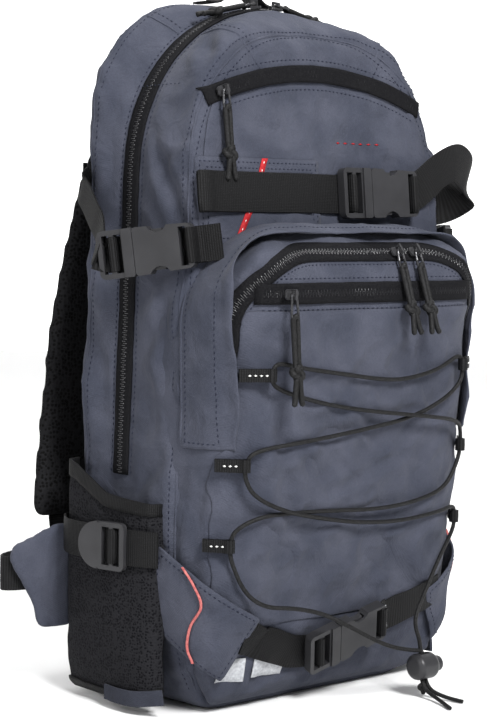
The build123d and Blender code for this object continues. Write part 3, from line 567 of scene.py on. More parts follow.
def ramp(mat, value, low, color, high, other):
    """A colour that goes from one to another between two values."""
    made = node(mat, "ValToRGB")
    for element, position, tint in zip(made.color_ramp.elements, (low, high), (color, other)):
        element.position, element.color = position, (*tint, 1)
    link(mat, value, made.inputs["Fac"])
    return made.outputs["Color"]


def tinted(mat, coords, color, other, scale):
    """A colour varied by noise between two colours."""
    cloud = texture(mat, "Noise", coords, Scale=scale, Detail=4.0)
    return ramp(mat, cloud, 0.35, color, 0.65, other)


def painted(mat, color):
    """A colour output joined to the shader."""
    link(mat, color, shader_of(mat)["Base Color"])


def bumped(mat, heights, strength, distance):
    """Bump from one height or several added up, given as (output, weight)."""
    total = None
    for output, weight in heights:
        scaled = node(mat, "Math", operation="MULTIPLY")
        link(mat, output, scaled.inputs[0])
        scaled.inputs[1].default_value = weight
        if total is None:
            total = scaled.outputs[0]
        else:
            both = node(mat, "Math", operation="ADD")
            link(mat, total, both.inputs[0])
            link(mat, scaled.outputs[0], both.inputs[1])
            total = both.outputs[0]
    bump = node(mat, "Bump", Strength=strength, Distance=distance * MM)
    link(mat, total, bump.inputs["Height"])
    link(mat, bump.outputs["Normal"], shader_of(mat)["Normal"])


def object_coords(mat):
    return node(mat, "TexCoord").outputs["Object"]


def canvas(name, color, worn):
    """Twill cloth: fine diagonal ribs, slubs, wrinkles and a little wear in its colour."""
    mat = material(name, color, roughness=0.9, sheen=0.04, shine=0.05)
    coords = object_coords(mat)
    slub = texture(mat, "Noise", coords, Scale=900.0, Detail=2.0)
    mix = node(mat, "Mix", data_type="RGBA", blend_type="MULTIPLY", Factor=0.35)
    link(mat, tinted(mat, coords, color, worn, 34.0), mix.inputs[6])
    link(mat, ramp(mat, slub, 0.3, (0.55, 0.55, 0.55), 0.7, (1, 1, 1)), mix.inputs[7])
    painted(mat, mix.outputs[2])
    diagonal = {"wave_type": "BANDS", "bands_direction": "DIAGONAL", "Detail": 2.0}
    rib = texture(mat, "Wave", coords, Scale=420.0, Distortion=1.5, **diagonal)
    wrinkle = texture(mat, "Noise", coords, Scale=42.0, Detail=4.0, Distortion=1.4)
    bumped(mat, [(rib, 0.5), (slub, 0.9), (wrinkle, 13.0)], 0.6, 0.25)
    return mat


def webbing_material(name, color, worn):
    """Nylon webbing: ribs along its length and a fine cross weave, from its own UVs."""
    mat = material(name, color, roughness=0.6, shine=0.12)
    uv = node(mat, "TexCoord").outputs["UV"]
    ribs = texture(mat, "Wave", uv, wave_type="BANDS", bands_direction="X", Scale=190.0, Distortion=0.4)
    weave = texture(mat, "Wave", uv, wave_type="BANDS", bands_direction="Y", Scale=300.0, Distortion=1.2)
    painted(mat, ramp(mat, ribs, 0.0, color, 1.0, worn))
    bumped(mat, [(ribs, 0.8), (weave, 0.6)], 0.7, 0.35)
    return mat


def plastic_material(name, color):
    """Moulded plastic with a fine spark-eroded grain."""
    mat = material(name, color, roughness=0.38, shine=0.3)
    coords = object_coords(mat)
    painted(mat, tinted(mat, coords, color, [c * 1.3 for c in color], 60.0))
    bumped(mat, [(texture(mat, "Noise", coords, Scale=1800.0, Detail=3.0), 1.0)], 0.25, 0.08)
    return mat


def net_material(name, thread, hole_shade, cell):
    """Knitted mesh: round holes in rows, with painted shade in the holes, darker than their threads."""
    mat = material(name, thread, roughness=0.8, shine=0.04)
    cells = texture(mat, "Voronoi", object_coords(mat), "Distance", Scale=1000.0 / cell, Randomness=0.7)
    # the hole colour is painted shade in the openings of the mesh
    painted(mat, ramp(mat, cells, 0.3, hole_shade, 0.46, thread))
    bumped(mat, [(cells, 1.0)], 0.9, 0.8)
    return mat


def cord_material(name, color, other):
    """Braided cord: a fine diagonal plait."""
    mat = material(name, color, roughness=0.6, shine=0.15)
    coords = object_coords(mat)
    painted(mat, tinted(mat, coords, color, other, 700.0))
    plait = texture(mat, "Voronoi", coords, "Distance", Scale=900.0, Randomness=0.6)
    bumped(mat, [(plait, 1.0)], 0.6, 0.3)
    return mat


def grainy(name, color, other, roughness, metallic=0.0, scale=500.0, shine=0.12):
    """A small plain part: thread, print, wire or zip coil."""
    mat = material(name, color, roughness=roughness, metallic=metallic, shine=shine)
    coords = object_coords(mat)
    painted(mat, tinted(mat, coords, color, other, scale))
    bumped(mat, [(texture(mat, "Noise", coords, Scale=scale * 2, Detail=2.0), 1.0)], 0.3, 0.1)
    return mat


CANVAS = canvas("canvas_cloth", (0.039, 0.043, 0.060), (0.058, 0.062, 0.083))
CANVAS_DARK = canvas("base_cloth", (0.024, 0.026, 0.036), (0.034, 0.037, 0.050))
WEBBING = webbing_material("black_webbing", (0.003, 0.003, 0.003), (0.010, 0.010, 0.011))
PLASTIC = plastic_material("buckle_plastic", (0.020, 0.020, 0.022))
TAPE = grainy("zip_tape", (0.005, 0.005, 0.006), (0.010, 0.010, 0.011), 0.8, scale=900.0, shine=0.04)
COIL = grainy("zip_coil", (0.012, 0.012, 0.014), (0.024, 0.024, 0.027), 0.3, shine=0.7)
WIRE = grainy("slider_metal", (0.035, 0.035, 0.038), (0.06, 0.06, 0.064), 0.28, metallic=0.5, shine=0.6)
CORD = cord_material("black_cord", (0.005, 0.005, 0.005), (0.014, 0.014, 0.015))
# each net's second colour is painted shade in its holes
NET = net_material("pocket_net", (0.014, 0.014, 0.016), (0.004, 0.004, 0.005), 1.9)
SPACER = net_material("spacer_mesh", (0.010, 0.010, 0.011), (0.003, 0.003, 0.003), 2.8)
THREAD = grainy("seam_thread", (0.010, 0.012, 0.024), (0.018, 0.021, 0.038), 0.6)
TRACER = grainy("tracer_thread", (0.62, 0.62, 0.60), (0.78, 0.78, 0.76), 0.6)
RED = grainy("red_tape", (0.27, 0.010, 0.014), (0.36, 0.022, 0.025), 0.7)
PINK = grainy("salmon_piping", (0.32, 0.075, 0.075), (0.44, 0.14, 0.13), 0.7)
REFLECT = grainy("reflective_print", (0.30, 0.31, 0.33), (0.45, 0.46, 0.48), 0.35)


def dressed(obj, mat, body="pack", stands_for=()):
    """A finished piece: its material, its body and the CAD nodes it stands for."""
    obj.data.materials.clear()
    obj.data.materials.append(mat)
    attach(obj, body)
    if stands_for:
        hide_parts(*stands_for)
    return obj


# ---- the main bag ----

ZIP_FRONT_Y, ZIP_BACK_Y, ZIP_END_Z = 4, 20, 158


def body_form():
    """The full bag: the front part, the rear part and the base, made one and softened."""
    shell = node_points("front_shell")
    rear = node_points("rear_shell")
    front_part = convex(shell + [p for p in rear if p.y < 20.5 * MM])
    rear_part = convex(rear)
    base = convex(node_points("base_panel"))
    return remeshed(joined("bag_cloth", [front_part, rear_part, base]), 4.0, 3)


bag = body_form()
plain_bag = tree(bag)
BODY_RING = ring(BODY_OUTLINE, BODY_RADII, 14)
BODY_INNER = ring(BODY_OUTLINE, BODY_RADII, 14, inset=40)


def bag_line(y, angle, low_z=14.0):
    """A line round the bag beside or in front of its outline."""
    pairs = zip(BODY_RING, BODY_INNER)
    return [wrap(plain_bag, inner, y, angle) for edge, inner in pairs if edge[0].y >= low_z]


corner_seam = bag_line(-22, 33)
zip_seams = [bag_line(ZIP_FRONT_Y - 1, 0, ZIP_END_Z), bag_line(ZIP_BACK_Y + 1, 0, ZIP_END_Z)]
rear_seam = bag_line(48, 0)


# folds as rows of two places, a width and a depth, for the right-hand side where they are mirrored
BAG_CREASES = [
    (120, -48, 150, 126, -30, 290, 6, 2.6),
    (126, 26, 180, 122, 46, 300, 8, 2.6),
    (120, -46, 330, 124, 0, 420, 6, 2.6),
    (104, -46, 440, 70, -2, 486, 6, 2.6),
    (80, -46, 470, 60, 0, 494, 5, 2.2),
    (132, -50, 300, 128, 2, 236, 7, 3.0),
    (133, 48, 322, 126, 8, 262, 8, 2.4),
    (130, -48, 190, 130, 0, 150, 8, 2.0),
    (118, -46, 400, 122, -6, 372, 7, 1.8),
    (92, -46, 455, 88, 0, 468, 7, 2.0),
    (126, 30, 440, 126, 30, 330, 9, 2.0),
]
BAG_FRONT_CREASES = [(-60, -48, 470, -20, -44, 478, 6, 1.6), (20, -44, 478, 70, -48, 466, 6, 1.6)]


def bag_folds(co, normal):
    """Folds where the cloth is drawn up round straps and seams, kept low beside the zip."""
    move = crumple(co, 64, 4.4, 3.0) + crumple(co, 26, 1.9, 8.0)
    move += creases(co, BAG_CREASES, -1) + creases(co, BAG_CREASES) + creases(co, BAG_FRONT_CREASES)
    limit = 1.0 if co.z > 12 * MM else 0.0
    calm = 1 - 0.85 * math.exp(-(((co.y / MM - 12) / 17) ** 4))
    return move * limit * calm * (0.75 + 0.5 * abs(normal.x)) - 0.6


displaced(bag, bag_folds)
grooved(bag, [corner_seam, rear_seam] + zip_seams, width=3.5, depth=1.6, puff=1.2)
modified(bag, "SUBSURF", levels=1)
bag_tree = tree(bag)


def on_bag(line):
    """Places of a line moved on to the folded bag."""
    return [hit(bag_tree, place + normal * 0.03, -normal, (place, normal)) for place, normal in line]


dressed(bag, CANVAS, stands_for=("front_shell", "rear_shell", "base_panel"))


def zip_band(name, lines, mat, lift=0.5, depth=0.9, stands_for=()):
    """A flat tape through several lines of places side by side."""
    rows = [[raised(line[i], lift) for line in lines] for i in range(len(lines[0]))]
    tape = thick(grid(name, rows), depth, 0.0)
    return dressed(tape, mat, stands_for=stands_for)


def seam_thread(name, line, mat=THREAD, **sizes):
    """A stitched row on the bag."""
    return dressed(stitches(name, line, **sizes), mat)


ys = [ZIP_FRONT_Y + k * (ZIP_BACK_Y - ZIP_FRONT_Y) / 6 for k in range(7)]
zip_lines = [on_bag(bag_line(y, 0, ZIP_END_Z)) for y in ys]
zip_band("main_zip_tape", zip_lines, TAPE, lift=0.9, stands_for=("main_zip",))
dressed(coil("main_zip_coil", zip_lines[3]), COIL)
for tag, y in (("front", ZIP_FRONT_Y - 3), ("back", ZIP_BACK_Y + 3)):
    seam_thread("main_zip_stitches_" + tag, on_bag(bag_line(y, 0, ZIP_END_Z)))
for tag, line in (("corner", corner_seam), ("rear", rear_seam)):
    moved = on_bag(line)
    welt = rod("bag_welt_" + tag, [raised(s, -0.2) for s in moved], 1.0, sides=6)
    dressed(welt, CANVAS)
seam_thread("corner_stitches_front", on_bag(bag_line(-22, 39)))
seam_thread("corner_stitches_side", on_bag(bag_line(-22, 27)))
seam_thread("rear_stitches", on_bag(bag_line(44, 0)))

# ---- the outer pocket ----

pocket = convex(node_points("outer_pocket_band", "outer_pocket_face"))
pocket = remeshed(pocket, 4.0, 3)
pocket.name = "outer_pocket_cloth"
plain_pocket = tree(pocket)


POCKET_CREASES = [
    (126, -56, 60, 126, -70, 180, 6, 2.4),
    (124, -84, 70, 124, -90, 180, 6, 2.2),
    (126, -62, 220, 116, -94, 250, 6, 1.8),
    (127, -60, 150, 118, -84, 176, 6, 1.8),
    (122, -62, 100, 112, -78, 130, 6, 1.6),
]
POCKET_FOOT_CREASE = [(-104, -60, 20, -60, -80, 60, 8, 2.0)]


def pocket_folds(co, normal):
    """Folds from the lacing and from the weight at the foot of the pocket."""
    move = crumple(co, 56, 3.8, 1.0) + crumple(co, 24, 1.7, 6.0)
    move += creases(co, POCKET_CREASES, -1) + creases(co, POCKET_CREASES) + creases(co, POCKET_FOOT_CREASE)
    return move * (1.0 if co.z > 10 * MM else 0.0) - 0.8


displaced(pocket, pocket_folds)
modified(pocket, "SUBSURF", levels=1)
pocket_tree = tree(pocket)
dressed(pocket, CANVAS, stands_for=("outer_pocket_band", "outer_pocket_face"))

FACE_BAND, FACE_ZIP, RING_ZIP_END_Z = 12, 10, 192
SIDE_PULL = 6.5  # how far the zip is drawn towards the rim down the two sides


def pocket_ring(inset, low_z, step=5.0):
    """An inset of the pocket's outline that runs nearer to its rim down the sides."""
    spots = ring(POCKET_OUTLINE, POCKET_RADII, low_z, 0, step)
    return [p - n * (inset - SIDE_PULL * n.x * n.x) for p, n in spots]


def face_line(inset, low_z):
    """A line on the pocket's face, a distance inside its outline."""
    return [front(pocket_tree, p.x, p.y) for p in pocket_ring(inset, low_z)]


ring_rows = [face_line(FACE_BAND - 1 + k * (FACE_ZIP + 2) / 6, RING_ZIP_END_Z) for k in range(7)]
zip_band("outer_zip_tape", ring_rows, TAPE, lift=1.0, stands_for=("outer_pocket_zip",))
dressed(coil("outer_zip_coil", ring_rows[3]), COIL)
seam_thread("outer_zip_stitches", face_line(FACE_BAND + FACE_ZIP + 3, RING_ZIP_END_Z), long=2.2)


def pouch_outline():
    """The pouch: inside the zip above, and as wide as the pocket's face below it."""
    upper = [p for p in pocket_ring(FACE_BAND + FACE_ZIP + 1, 190) if p.y < 285]
    lower = [p for p in pocket_ring(FACE_BAND + 3, 58) if p.y < 186]
    left = [p for p in lower if p.x < 0] + [p for p in upper if p.x < 0]
    right = [p for p in upper if p.x > 0] + [p for p in lower if p.x > 0]
    return [tuple(p) for p in left + right]


POUCH_CREASES = [
    (-92, 0, 250, -60, 0, 120, 7, 2.6),
    (-80, 0, 200, -20, 0, 150, 6, 2.2),
    (-100, 0, 150, -50, 0, 92, 7, 2.6),
    (30, 0, 270, 86, 0, 200, 8, 2.2),
    (10, 0, 120, 80, 0, 70, 8, 2.4),
    (-94, 0, 236, 20, 0, 222, 5, 1.6),
    (-104, 0, 180, 60, 0, 214, 5, 1.3),
    (-60, 0, 142, 92, 0, 196, 5, 1.2),
    (-108, 0, 124, 40, 0, 140, 5, 1.2),
]


def pouch_wave(x, z, inner):
    """Soft folds across the pouch, drawn in under the elastic cord."""
    co = at(x, 0, z)
    folds = crumple(co, 42, 5.0, 12.0) + crumple(co, 20, 1.6, 2.0) - 1.6 + creases(co, POUCH_CREASES)
    return folds * (1 - math.exp(-inner / 18))


def from_front(surface):
    """A function that puts front-view millimetres on a surface."""
    return lambda x, z: front(surface, x, z)


pouch_place = from_front(pocket_tree)
pouch = patch("pouch_cloth", pouch_outline(), pouch_place, 1.4, 3.4, crown=1.6, depth=1.4, wave=pouch_wave)
modified(pouch, "SUBSURF", levels=1)
dressed(pouch, CANVAS, stands_for=("pouch_panel",))
pouch_tree = tree(pouch, pocket)


def level_line(z, half, surface, step=5.0):
    """A level line across the front between two sides."""
    count = int(2 * half / step)
    return [front(surface, -half + 2 * half * k / count, z) for k in range(count + 1)]


POUCH_HALF = 99
tape_rows = [level_line(POUCH_ZIP_Z - 7 + k * 14 / 6, POUCH_HALF + 4, pocket_tree) for k in range(7)]
zip_band("pouch_zip_tape", tape_rows, TAPE, lift=1.2, stands_for=("pouch_zip",))
dressed(coil("pouch_zip_coil", level_line(POUCH_ZIP_Z, POUCH_HALF, pocket_tree)), COIL)
seam_thread("pouch_zip_stitches_high", level_line(POUCH_ZIP_Z + 10, POUCH_HALF, pocket_tree))
seam_thread("pouch_zip_stitches_low", level_line(POUCH_ZIP_Z - 11, POUCH_HALF, pouch_tree))

# ---- the arched flap ----

FLAP_LOW_Z = 186
FLAP_ROOT_Y, FLAP_TURN_Y = -50, -84
FLAP_EDGE = ring(POCKET_OUTLINE, POCKET_RADII, FLAP_LOW_Z, 34, 4.0)


def flap():
    """A loose band over the pocket that ends at its front corner, its free edge standing off."""
    rows = []
    for i, core in enumerate(FLAP_EDGE):
        sway = noise.noise(Vector((i * 0.13, 0.4, 2.0)))
        row = []
        for k in range(8):
            y = FLAP_ROOT_Y + (FLAP_TURN_Y - FLAP_ROOT_Y) * k / 7
            row.append(raised(wrap(plain_pocket, core, y, 0), 1.6 + 0.35 * k + sway * k / 7))
        for k in range(1, 4):
            angle = k * (3.2 + 3.0 * sway)
            row.append(raised(wrap(plain_pocket, core, FLAP_TURN_Y, angle), 4.2 + k * (1.1 + 1.6 * sway)))
        rows.append(row)
    obj = thick(grid("arched_flap", rows), 1.6)
    modified(obj, "SUBSURF", levels=1)
    return displaced(obj, lambda co, n: crumple(co, 30, 1.4, 4.0))


flap_piece = flap()
dressed(flap_piece, CANVAS, stands_for=("outer_pocket_flap",))
flap_tree = tree(flap_piece)


def flap_line(y, angle=0.0):
    """A row along the flap, at a depth or round its front corner."""
    return [wrap(flap_tree, core, y, angle) for core in FLAP_EDGE]


seam_thread("flap_stitches_edge", flap_line(-81))
seam_thread("flap_stitches_root", flap_line(FLAP_ROOT_Y - 5))
root_welt = rod("flap_root_welt", [raised(s, -0.3) for s in flap_line(FLAP_ROOT_Y - 1)], 1.3, sides=6)
dressed(root_welt, CANVAS)
for tag, k in (("left", 1), ("right", -2)):
    hem = [wrap(flap_tree, FLAP_EDGE[k], FLAP_ROOT_Y - 3 - 2 * n, 0) for n in range(15)]
    seam_thread("flap_hem_" + tag, hem)

# ---- upper front pocket ----

def arch_line(radius, angle, surface, step=1.2):
    """An arched line over the upper pocket."""
    count = int(2 * angle / step)
    line = []
    for k in range(count + 1):
        a = math.radians(-angle + 2 * angle * k / count)
        line.append(front(surface, radius * math.sin(a), TOP_ZIP_Z - TOP_ZIP_RADIUS + radius * math.cos(a)))
    return line


TOP_PANEL_RADIUS = 258.5


def top_panel_outline():
    """The lower front panel of the upper pocket, under its zip."""
    sides = [p for p, n in ring(BODY_OUTLINE, BODY_RADII, 322, 12) if p.y < 426]
    arch = []
    for k in range(25):
        a = math.radians(-22.5 + 45 * k / 24)
        up = TOP_ZIP_Z - TOP_ZIP_RADIUS + TOP_PANEL_RADIUS * math.cos(a)
        arch.append(Vector((TOP_PANEL_RADIUS * math.sin(a), up)))
    left = [p for p in sides if p.x < 0]
    right = [p for p in sides if p.x > 0]
    return [tuple(p) for p in left + [p for p in arch if abs(p.x) < 96] + right]


TOP_CREASES = [
    (-90, 0, 420, -30, 0, 396, 6, 2.0),
    (40, 0, 392, 96, 0, 372, 5, 2.2),
    (10, 0, 430, 84, 0, 408, 7, 1.8),
]


def top_wave(x, z, inner):
    """Folds on the upper pocket, kept low under the lash strap."""
    co = at(x, 0, z)
    calm = min(1.0, max(0.15, (z - 380) / 16))
    folds = creases(co, TOP_CREASES) + crumple(co, 44, 3.0, 21.0) + crumple(co, 20, 1.1, 5.0)
    return folds * calm * (1 - math.exp(-inner / 16))


panel_place = from_front(bag_tree)
panel_edge = top_panel_outline()
top_panel = patch("top_pocket_cloth", panel_edge, panel_place, 1.2, crown=0.9, depth=1.2, wave=top_wave)
modified(top_panel, "SUBSURF", levels=1)
dressed(top_panel, CANVAS, stands_for=("top_pocket_panel",))
top_rows = [arch_line(TOP_ZIP_RADIUS - 6 + k * 12 / 6, 23, bag_tree) for k in range(7)]
zip_band("top_zip_tape", top_rows, TAPE, lift=1.3, stands_for=("top_pocket_zip",))
dressed(coil("top_zip_coil", arch_line(TOP_ZIP_RADIUS, 22, bag_tree)), COIL)
seam_thread("top_zip_stitches_high", arch_line(TOP_ZIP_RADIUS + 10, 23, bag_tree))
seam_thread("top_zip_stitches_low", arch_line(TOP_ZIP_RADIUS - 11, 22, tree(top_panel, bag)))

PATCH = [(-116, 322), (-6, 322), (-6, 384), (-116, 384)]
patch_place = from_front(tree(bag, top_panel))
patch_piece = patch("lash_patch_cloth", PATCH, patch_place, 1.0, crown=0.4, depth=1.3)
dressed(patch_piece, CANVAS, stands_for=("lash_patch",))
patch_tree = tree(patch_piece, bag, top_panel)


def straight(points, surface, step=4.0):
    """A line over a surface through some front-view points."""
    line = evened([Vector(p) for p in points], step)
    return [front(surface, p.x, p.y) for p in line]


for k, inset in enumerate((3, 7)):
    box = [(-116 + inset, 322 + inset), (-6 - inset, 322 + inset), (-6 - inset, 384 - inset)]
    box += [(-116 + inset, 384 - inset), (-116 + inset, 322 + inset)]
    seam_thread(f"patch_stitches_{k}", straight(box, patch_tree, 2.0), long=2.2)
stripe_rows = [straight([(-56 + d, 384), (-87 + d, 322)], patch_tree) for d in (-2.6, 0, 2.6)]
stripe = [[raised(row[i], 0.5) for row in stripe_rows] for i in range(len(stripe_rows[0]))]
dressed(thick(grid("red_stripe", stripe), 0.7, 0.0), RED)
seam_thread("stripe_stitches", [(raised(s, 0.6), s[1]) for s in stripe_rows[1]], TRACER, long=3.0, gap=3.5)

seam_thread("red_stitches", straight([(14, 397), (62, 397)], patch_tree), RED, long=4.5, gap=3.0, radius=0.55)


def cross_seam(tag, share, ys):
    """A seam across the bag's side, at a share of the way round its outline."""
    first = int(share * len(BODY_INNER))
    welt, row = [on_bag([wrap(plain_bag, core, y, 0) for y in ys]) for core in BODY_INNER[first:first + 2]]
    dressed(rod("gusset_seam_" + tag, [raised(s, -0.1) for s in welt], 1.0, sides=6), CANVAS)
    seam_thread("gusset_stitches_" + tag, row)


for tag, share in (("left", 0.43), ("right", 0.57)):
    cross_seam(tag + "_front", share, [-2 - 3 * k for k in range(15)])
    cross_seam(tag + "_rear", share, [24 + 3 * k for k in range(9)])

# ---- webbing, straps and their buckles ----


def recoat(mat, *names):
    """A better material on CAD nodes whose shape is right."""
    for name in names:
        NODES[name].data.materials.clear()
        NODES[name].data.materials.append(mat)


SIDES = (("left", 1), ("right", -1))
for buckle in ("upper", "lower", "chest", "hip"):
    recoat(PLASTIC, buckle + "_buckle_female", buckle + "_buckle_male")
recoat(PLASTIC, "cord_lock_barrel", "cord_lock_button")
recoat(WIRE, "top_pocket_slider", "pouch_slider")
for side, _ in SIDES:
    recoat(PLASTIC, "side_buckle_female_" + side, "side_buckle_male_" + side, "ladder_lock_" + side)
    recoat(WIRE, "main_zip_slider_" + side, "outer_zip_slider_" + side)


def strap(name, points, across, width, body="pack", stands_for=(), depth=1.5, step=2.0):
    """A webbing strap through some points in millimetres."""
    path = curved_path([at(*p) for p in points], step)
    piece = ribbon(name, path, across, width, depth)
    return dressed(piece, WEBBING, body, stands_for)


def both_sides(obj, name, stands_for=()):
    """The mirrored twin of a piece, dressed alike."""
    return dressed(mirrored_copy(obj, name), obj.data.materials[0], stands_for=stands_for)


def mirrored(p, sign):
    """A place or a way on the left side (1), or the same on the right (-1)."""
    return (sign * p[0], p[1], p[2])


def seat(origin, along, out):
    """A buckle's own axes: a function from its millimetres to the pack's."""
    o, x, z = Vector(origin), Vector(along).normalized(), Vector(out).normalized()
    z = (z - x * z.dot(x)).normalized()
    y = z.cross(x)

    def place(a, b, c):
        return tuple(o + x * a + y * b + z * c)

    return place, y


def bar_wrap(name, place, across, bar_x, width, body, depth=1.2, high=8.0, end=14.0):
    """Webbing folded over a buckle's bar: up through its slot, over the bar and back under."""
    loop = [(bar_x - end, -0.9), (bar_x - 3.6, 0.2), (bar_x - 2.9, high * 0.5), (bar_x - 1.4, high + 0.7)]
    loop += [(bar_x + 1.4, high + 0.7), (bar_x + 2.9, high * 0.5), (bar_x + 3.6, 0.2), (bar_x + end, -0.9)]
    return strap(name, [place(a, 0, c) for a, c in loop], across, width, body, depth=depth, step=1.2)


FRONT_OUT = (0, -0.9947, 0.1029)
upper_place, upper_y = seat((38, -51.8 - 5.77, 360.6), (1, 0, 0), FRONT_OUT)
upper_line = [(-116, -52.5, 360)] + [upper_place(x, 0, -1.55) for x in (-140, -110, -70, -30, -2)]
strap("upper_strap_left", upper_line, upper_y, UPPER_WIDE, stands_for=("upper_strap",))
TAIL = [(-153, -1.0), (-158.2, 0.8), (-156.2, 3.3), (-150, 3.4)]
TAIL += [(-142, 1.4), (-110, 0.4), (-60, 0.3), (-53, 0.3)]
strap("upper_strap_tail", [upper_place(x, 0, z) for x, z in TAIL], upper_y, UPPER_WIDE)
bar_wrap("upper_male_wrap", upper_place, upper_y, -16.4, UPPER_INSIDE, "upper_buckle_prong", high=6.4, end=7)
slack = [upper_place(34, 0, -1.4), upper_place(46, 0, -1.4), (96, -60, 368), (110, -64, 380), (128, -64, 386)]
slack += [(146, -58, 378), (153, -48, 364), (144, -38, 354), (125, -30, 350)]
slack_path = curved_path([at(*p) for p in slack])
slack_across = []
for i in range(len(slack_path)):
    t = i / (len(slack_path) - 1)
    tilt = math.sin(math.pi * min(1, t * 1.5)) * (1 - t)
    slack_across.append(Vector((-0.75 * tilt, -0.35 * t, 1)).normalized())
dressed(ribbon("upper_strap_slack", slack_path, slack_across, UPPER_WIDE), WEBBING)
bar_wrap("upper_female_wrap", upper_place, upper_y, 44.7, UPPER_INSIDE, "pack", end=9)

side_place, side_y = seat((-140.5, -20, 319), (0.474, -0.87, 0.135), (-0.878, -0.478, 0))
rear_place, rear_y = seat((-141.5, 27, 342), (0.20, 0.73, 0.65), (-0.95, 0.31, -0.06))
REAR_STRAP = [side_place(-6, 0, -1.6), side_place(-20, 0, -1.8), side_place(-29, 0, -1.4)]
REAR_STRAP += [rear_place(x, 0, 0.8) for x in (-14, 0, 18, 32)] + [(-129, 50, 372)]
FRONT_STRAP = [side_place(x, 0, z) for x, z in ((22, -1.3), (34, -1.3), (46, -1.4), (60, -3))]


def side_straps(tag, sign):
    """The two straps of one side buckle, and the webbing folded over its bars."""

    def place(a, b, c):
        return mirrored(side_place(a, b, c), sign)

    up, rear_up = Vector(mirrored(side_y, sign)), Vector(mirrored(rear_y, sign))
    path = curved_path([at(*mirrored(p, sign)) for p in REAR_STRAP])
    turns = [up.lerp(rear_up, min(1, 2.2 * i / len(path))) for i in range(len(path))]
    rear = ribbon("side_strap_rear_" + tag, path, turns, STRAP_WIDE)
    dressed(rear, WEBBING, stands_for=("side_straps",) if sign > 0 else ())
    strap("side_strap_front_" + tag, [mirrored(p, sign) for p in FRONT_STRAP], up, STRAP_WIDE)
    bar_wrap("side_female_wrap_" + tag, place, up, 40.8, STRAP_INSIDE, "pack", end=8)
    prong = "side_buckle_prong_" + tag
    bar_wrap("side_male_wrap_" + tag, place, up, -16.4, STRAP_INSIDE, prong, high=6.4, end=7)


for tag, sign in SIDES:
    side_straps(tag, sign)

# ---- side pockets ----

MESH_RIM = [(60, 172), (44, 169), (7, 153), (-40, 149)]


def rim_height(y):
    """How high the pocket's rim is at a depth."""
    for (ya, za), (yb, zb) in zip(MESH_RIM, MESH_RIM[1:]):
        if ya >= y >= yb:
            return za + (zb - za) * (ya - y) / (ya - yb)
    return MESH_RIM[0][1] if y > MESH_RIM[0][0] else MESH_RIM[-1][1]


POCKET_ACROSS = [(-42, 134), (-30, 140), (-6, 147), (16, 148.6), (38, 148), (50, 144), (56, 139)]
POCKET_UP = [(4, 131), (10, 139), (30, 145), (60, 149), (120, 147), (172, 141)]


def between(points, v):
    """Straight interpolation in a list of pairs."""
    for (a, low), (b, high) in zip(points, points[1:]):
        if v <= b:
            return low + (high - low) * max(0.0, v - a) / (b - a)
    return points[-1][1]


def side_wall(y, share, lift=0.0):
    """A place on the full side pocket's wall, a share of the way up at a depth."""
    foot = 4.5 + max(0.0, -16 - y) * 0.4
    z = foot + (rim_height(y) - 1.5 - foot) * share
    across, up = between(POCKET_ACROSS, y), between(POCKET_UP, z)
    soft = -3 * math.log(math.exp(-across / 3) + math.exp(-up / 3)) + 1.6
    sag = crumple(at(0, y, z), 26, 2.4, 30.0) + crumple(at(0, y, z), 11, 0.9, 3.0)
    return at(-soft - lift - sag * min(1.0, z / 20) * (0.25 if share > 0.9 else 1.0), y, z)


def wall_sheet(name, low, high, count, lift, depth):
    """A strip of the side pocket's wall between two shares of its height, tucked in at both ends."""
    rows = []
    for y in [57.5] + [56 - 3.4 * k for k in range(28)] + [-38.5]:
        row = [side_wall(y, low + (high - low) * k / count, lift) for k in range(count + 1)]
        if y in (57.5, -38.5):
            row = [p + X * 9 * MM for p in row]
        rows.append(row)
    return thick(flipped_out(grid(name, rows), -X), depth)


wall = wall_sheet("side_pocket_net", 0.0, 1.0, 36, 0.0, 1.2)
modified(wall, "SUBSURF", levels=1)
dressed(wall, NET, stands_for=("mesh_pocket_left",))
both_sides(wall, "side_pocket_net_right", ("mesh_pocket_right",))
for tag, low, high in (("binding", 0.935, 1.0), ("foot", 0.0, 0.05)):
    edge = dressed(wall_sheet("side_pocket_" + tag, low, high, 4, 1.1, 1.6), WEBBING)
    both_sides(edge, f"side_pocket_{tag}_right")

POCKET_STRAP_Z = 117
POCKET_STRAP_PATH = [(-139, 62), (-142.6, 58.4), (-150.9, 42), (-151.4, 20), (-151, -4.5), (-145.2, -28.5)]
POCKET_STRAP_PATH += [(-138, -42)]
ladder_place, _ = seat((-152.6, -2, POCKET_STRAP_Z), (0.25, -0.968, 0), (-0.968, -0.25, 0))


def pocket_strap(tag, sign):
    """The webbing round one side pocket, and its fold over the ladder lock's bar."""

    def place(a, b, c):
        return mirrored(ladder_place(a, b, c), sign)

    points = [(sign * x, y, POCKET_STRAP_Z) for x, y in POCKET_STRAP_PATH]
    strap("pocket_strap_" + tag, points, Z, STRAP_WIDE, stands_for=("pocket_straps",) if sign > 0 else ())
    bar_wrap("ladder_wrap_" + tag, place, Z, 8.0, STRAP_INSIDE, "ladder_" + tag, high=4.0, end=6, depth=1.1)


for tag, sign in SIDES:
    pocket_strap(tag, sign)

# ---- the lower wings and lash strap ----

corner_tree = tree(bag, pocket)


def on_corner(u, z):
    """A place on the lower corner seen straight on to it."""
    origin = WING_RIGHT * u * MM + Z * z * MM
    total = 0.0
    for du in (-9, 0, 9):
        for dz in (-9, 0, 9):
            start = origin + (WING_RIGHT * du + Z * dz) * MM + WING_OUT * FAR
            found = hit(corner_tree, start, -WING_OUT, (start - WING_OUT * (FAR - 0.13), WING_OUT))
            total += found[0].dot(WING_OUT) / 9
    return origin + WING_OUT * total, WING_OUT


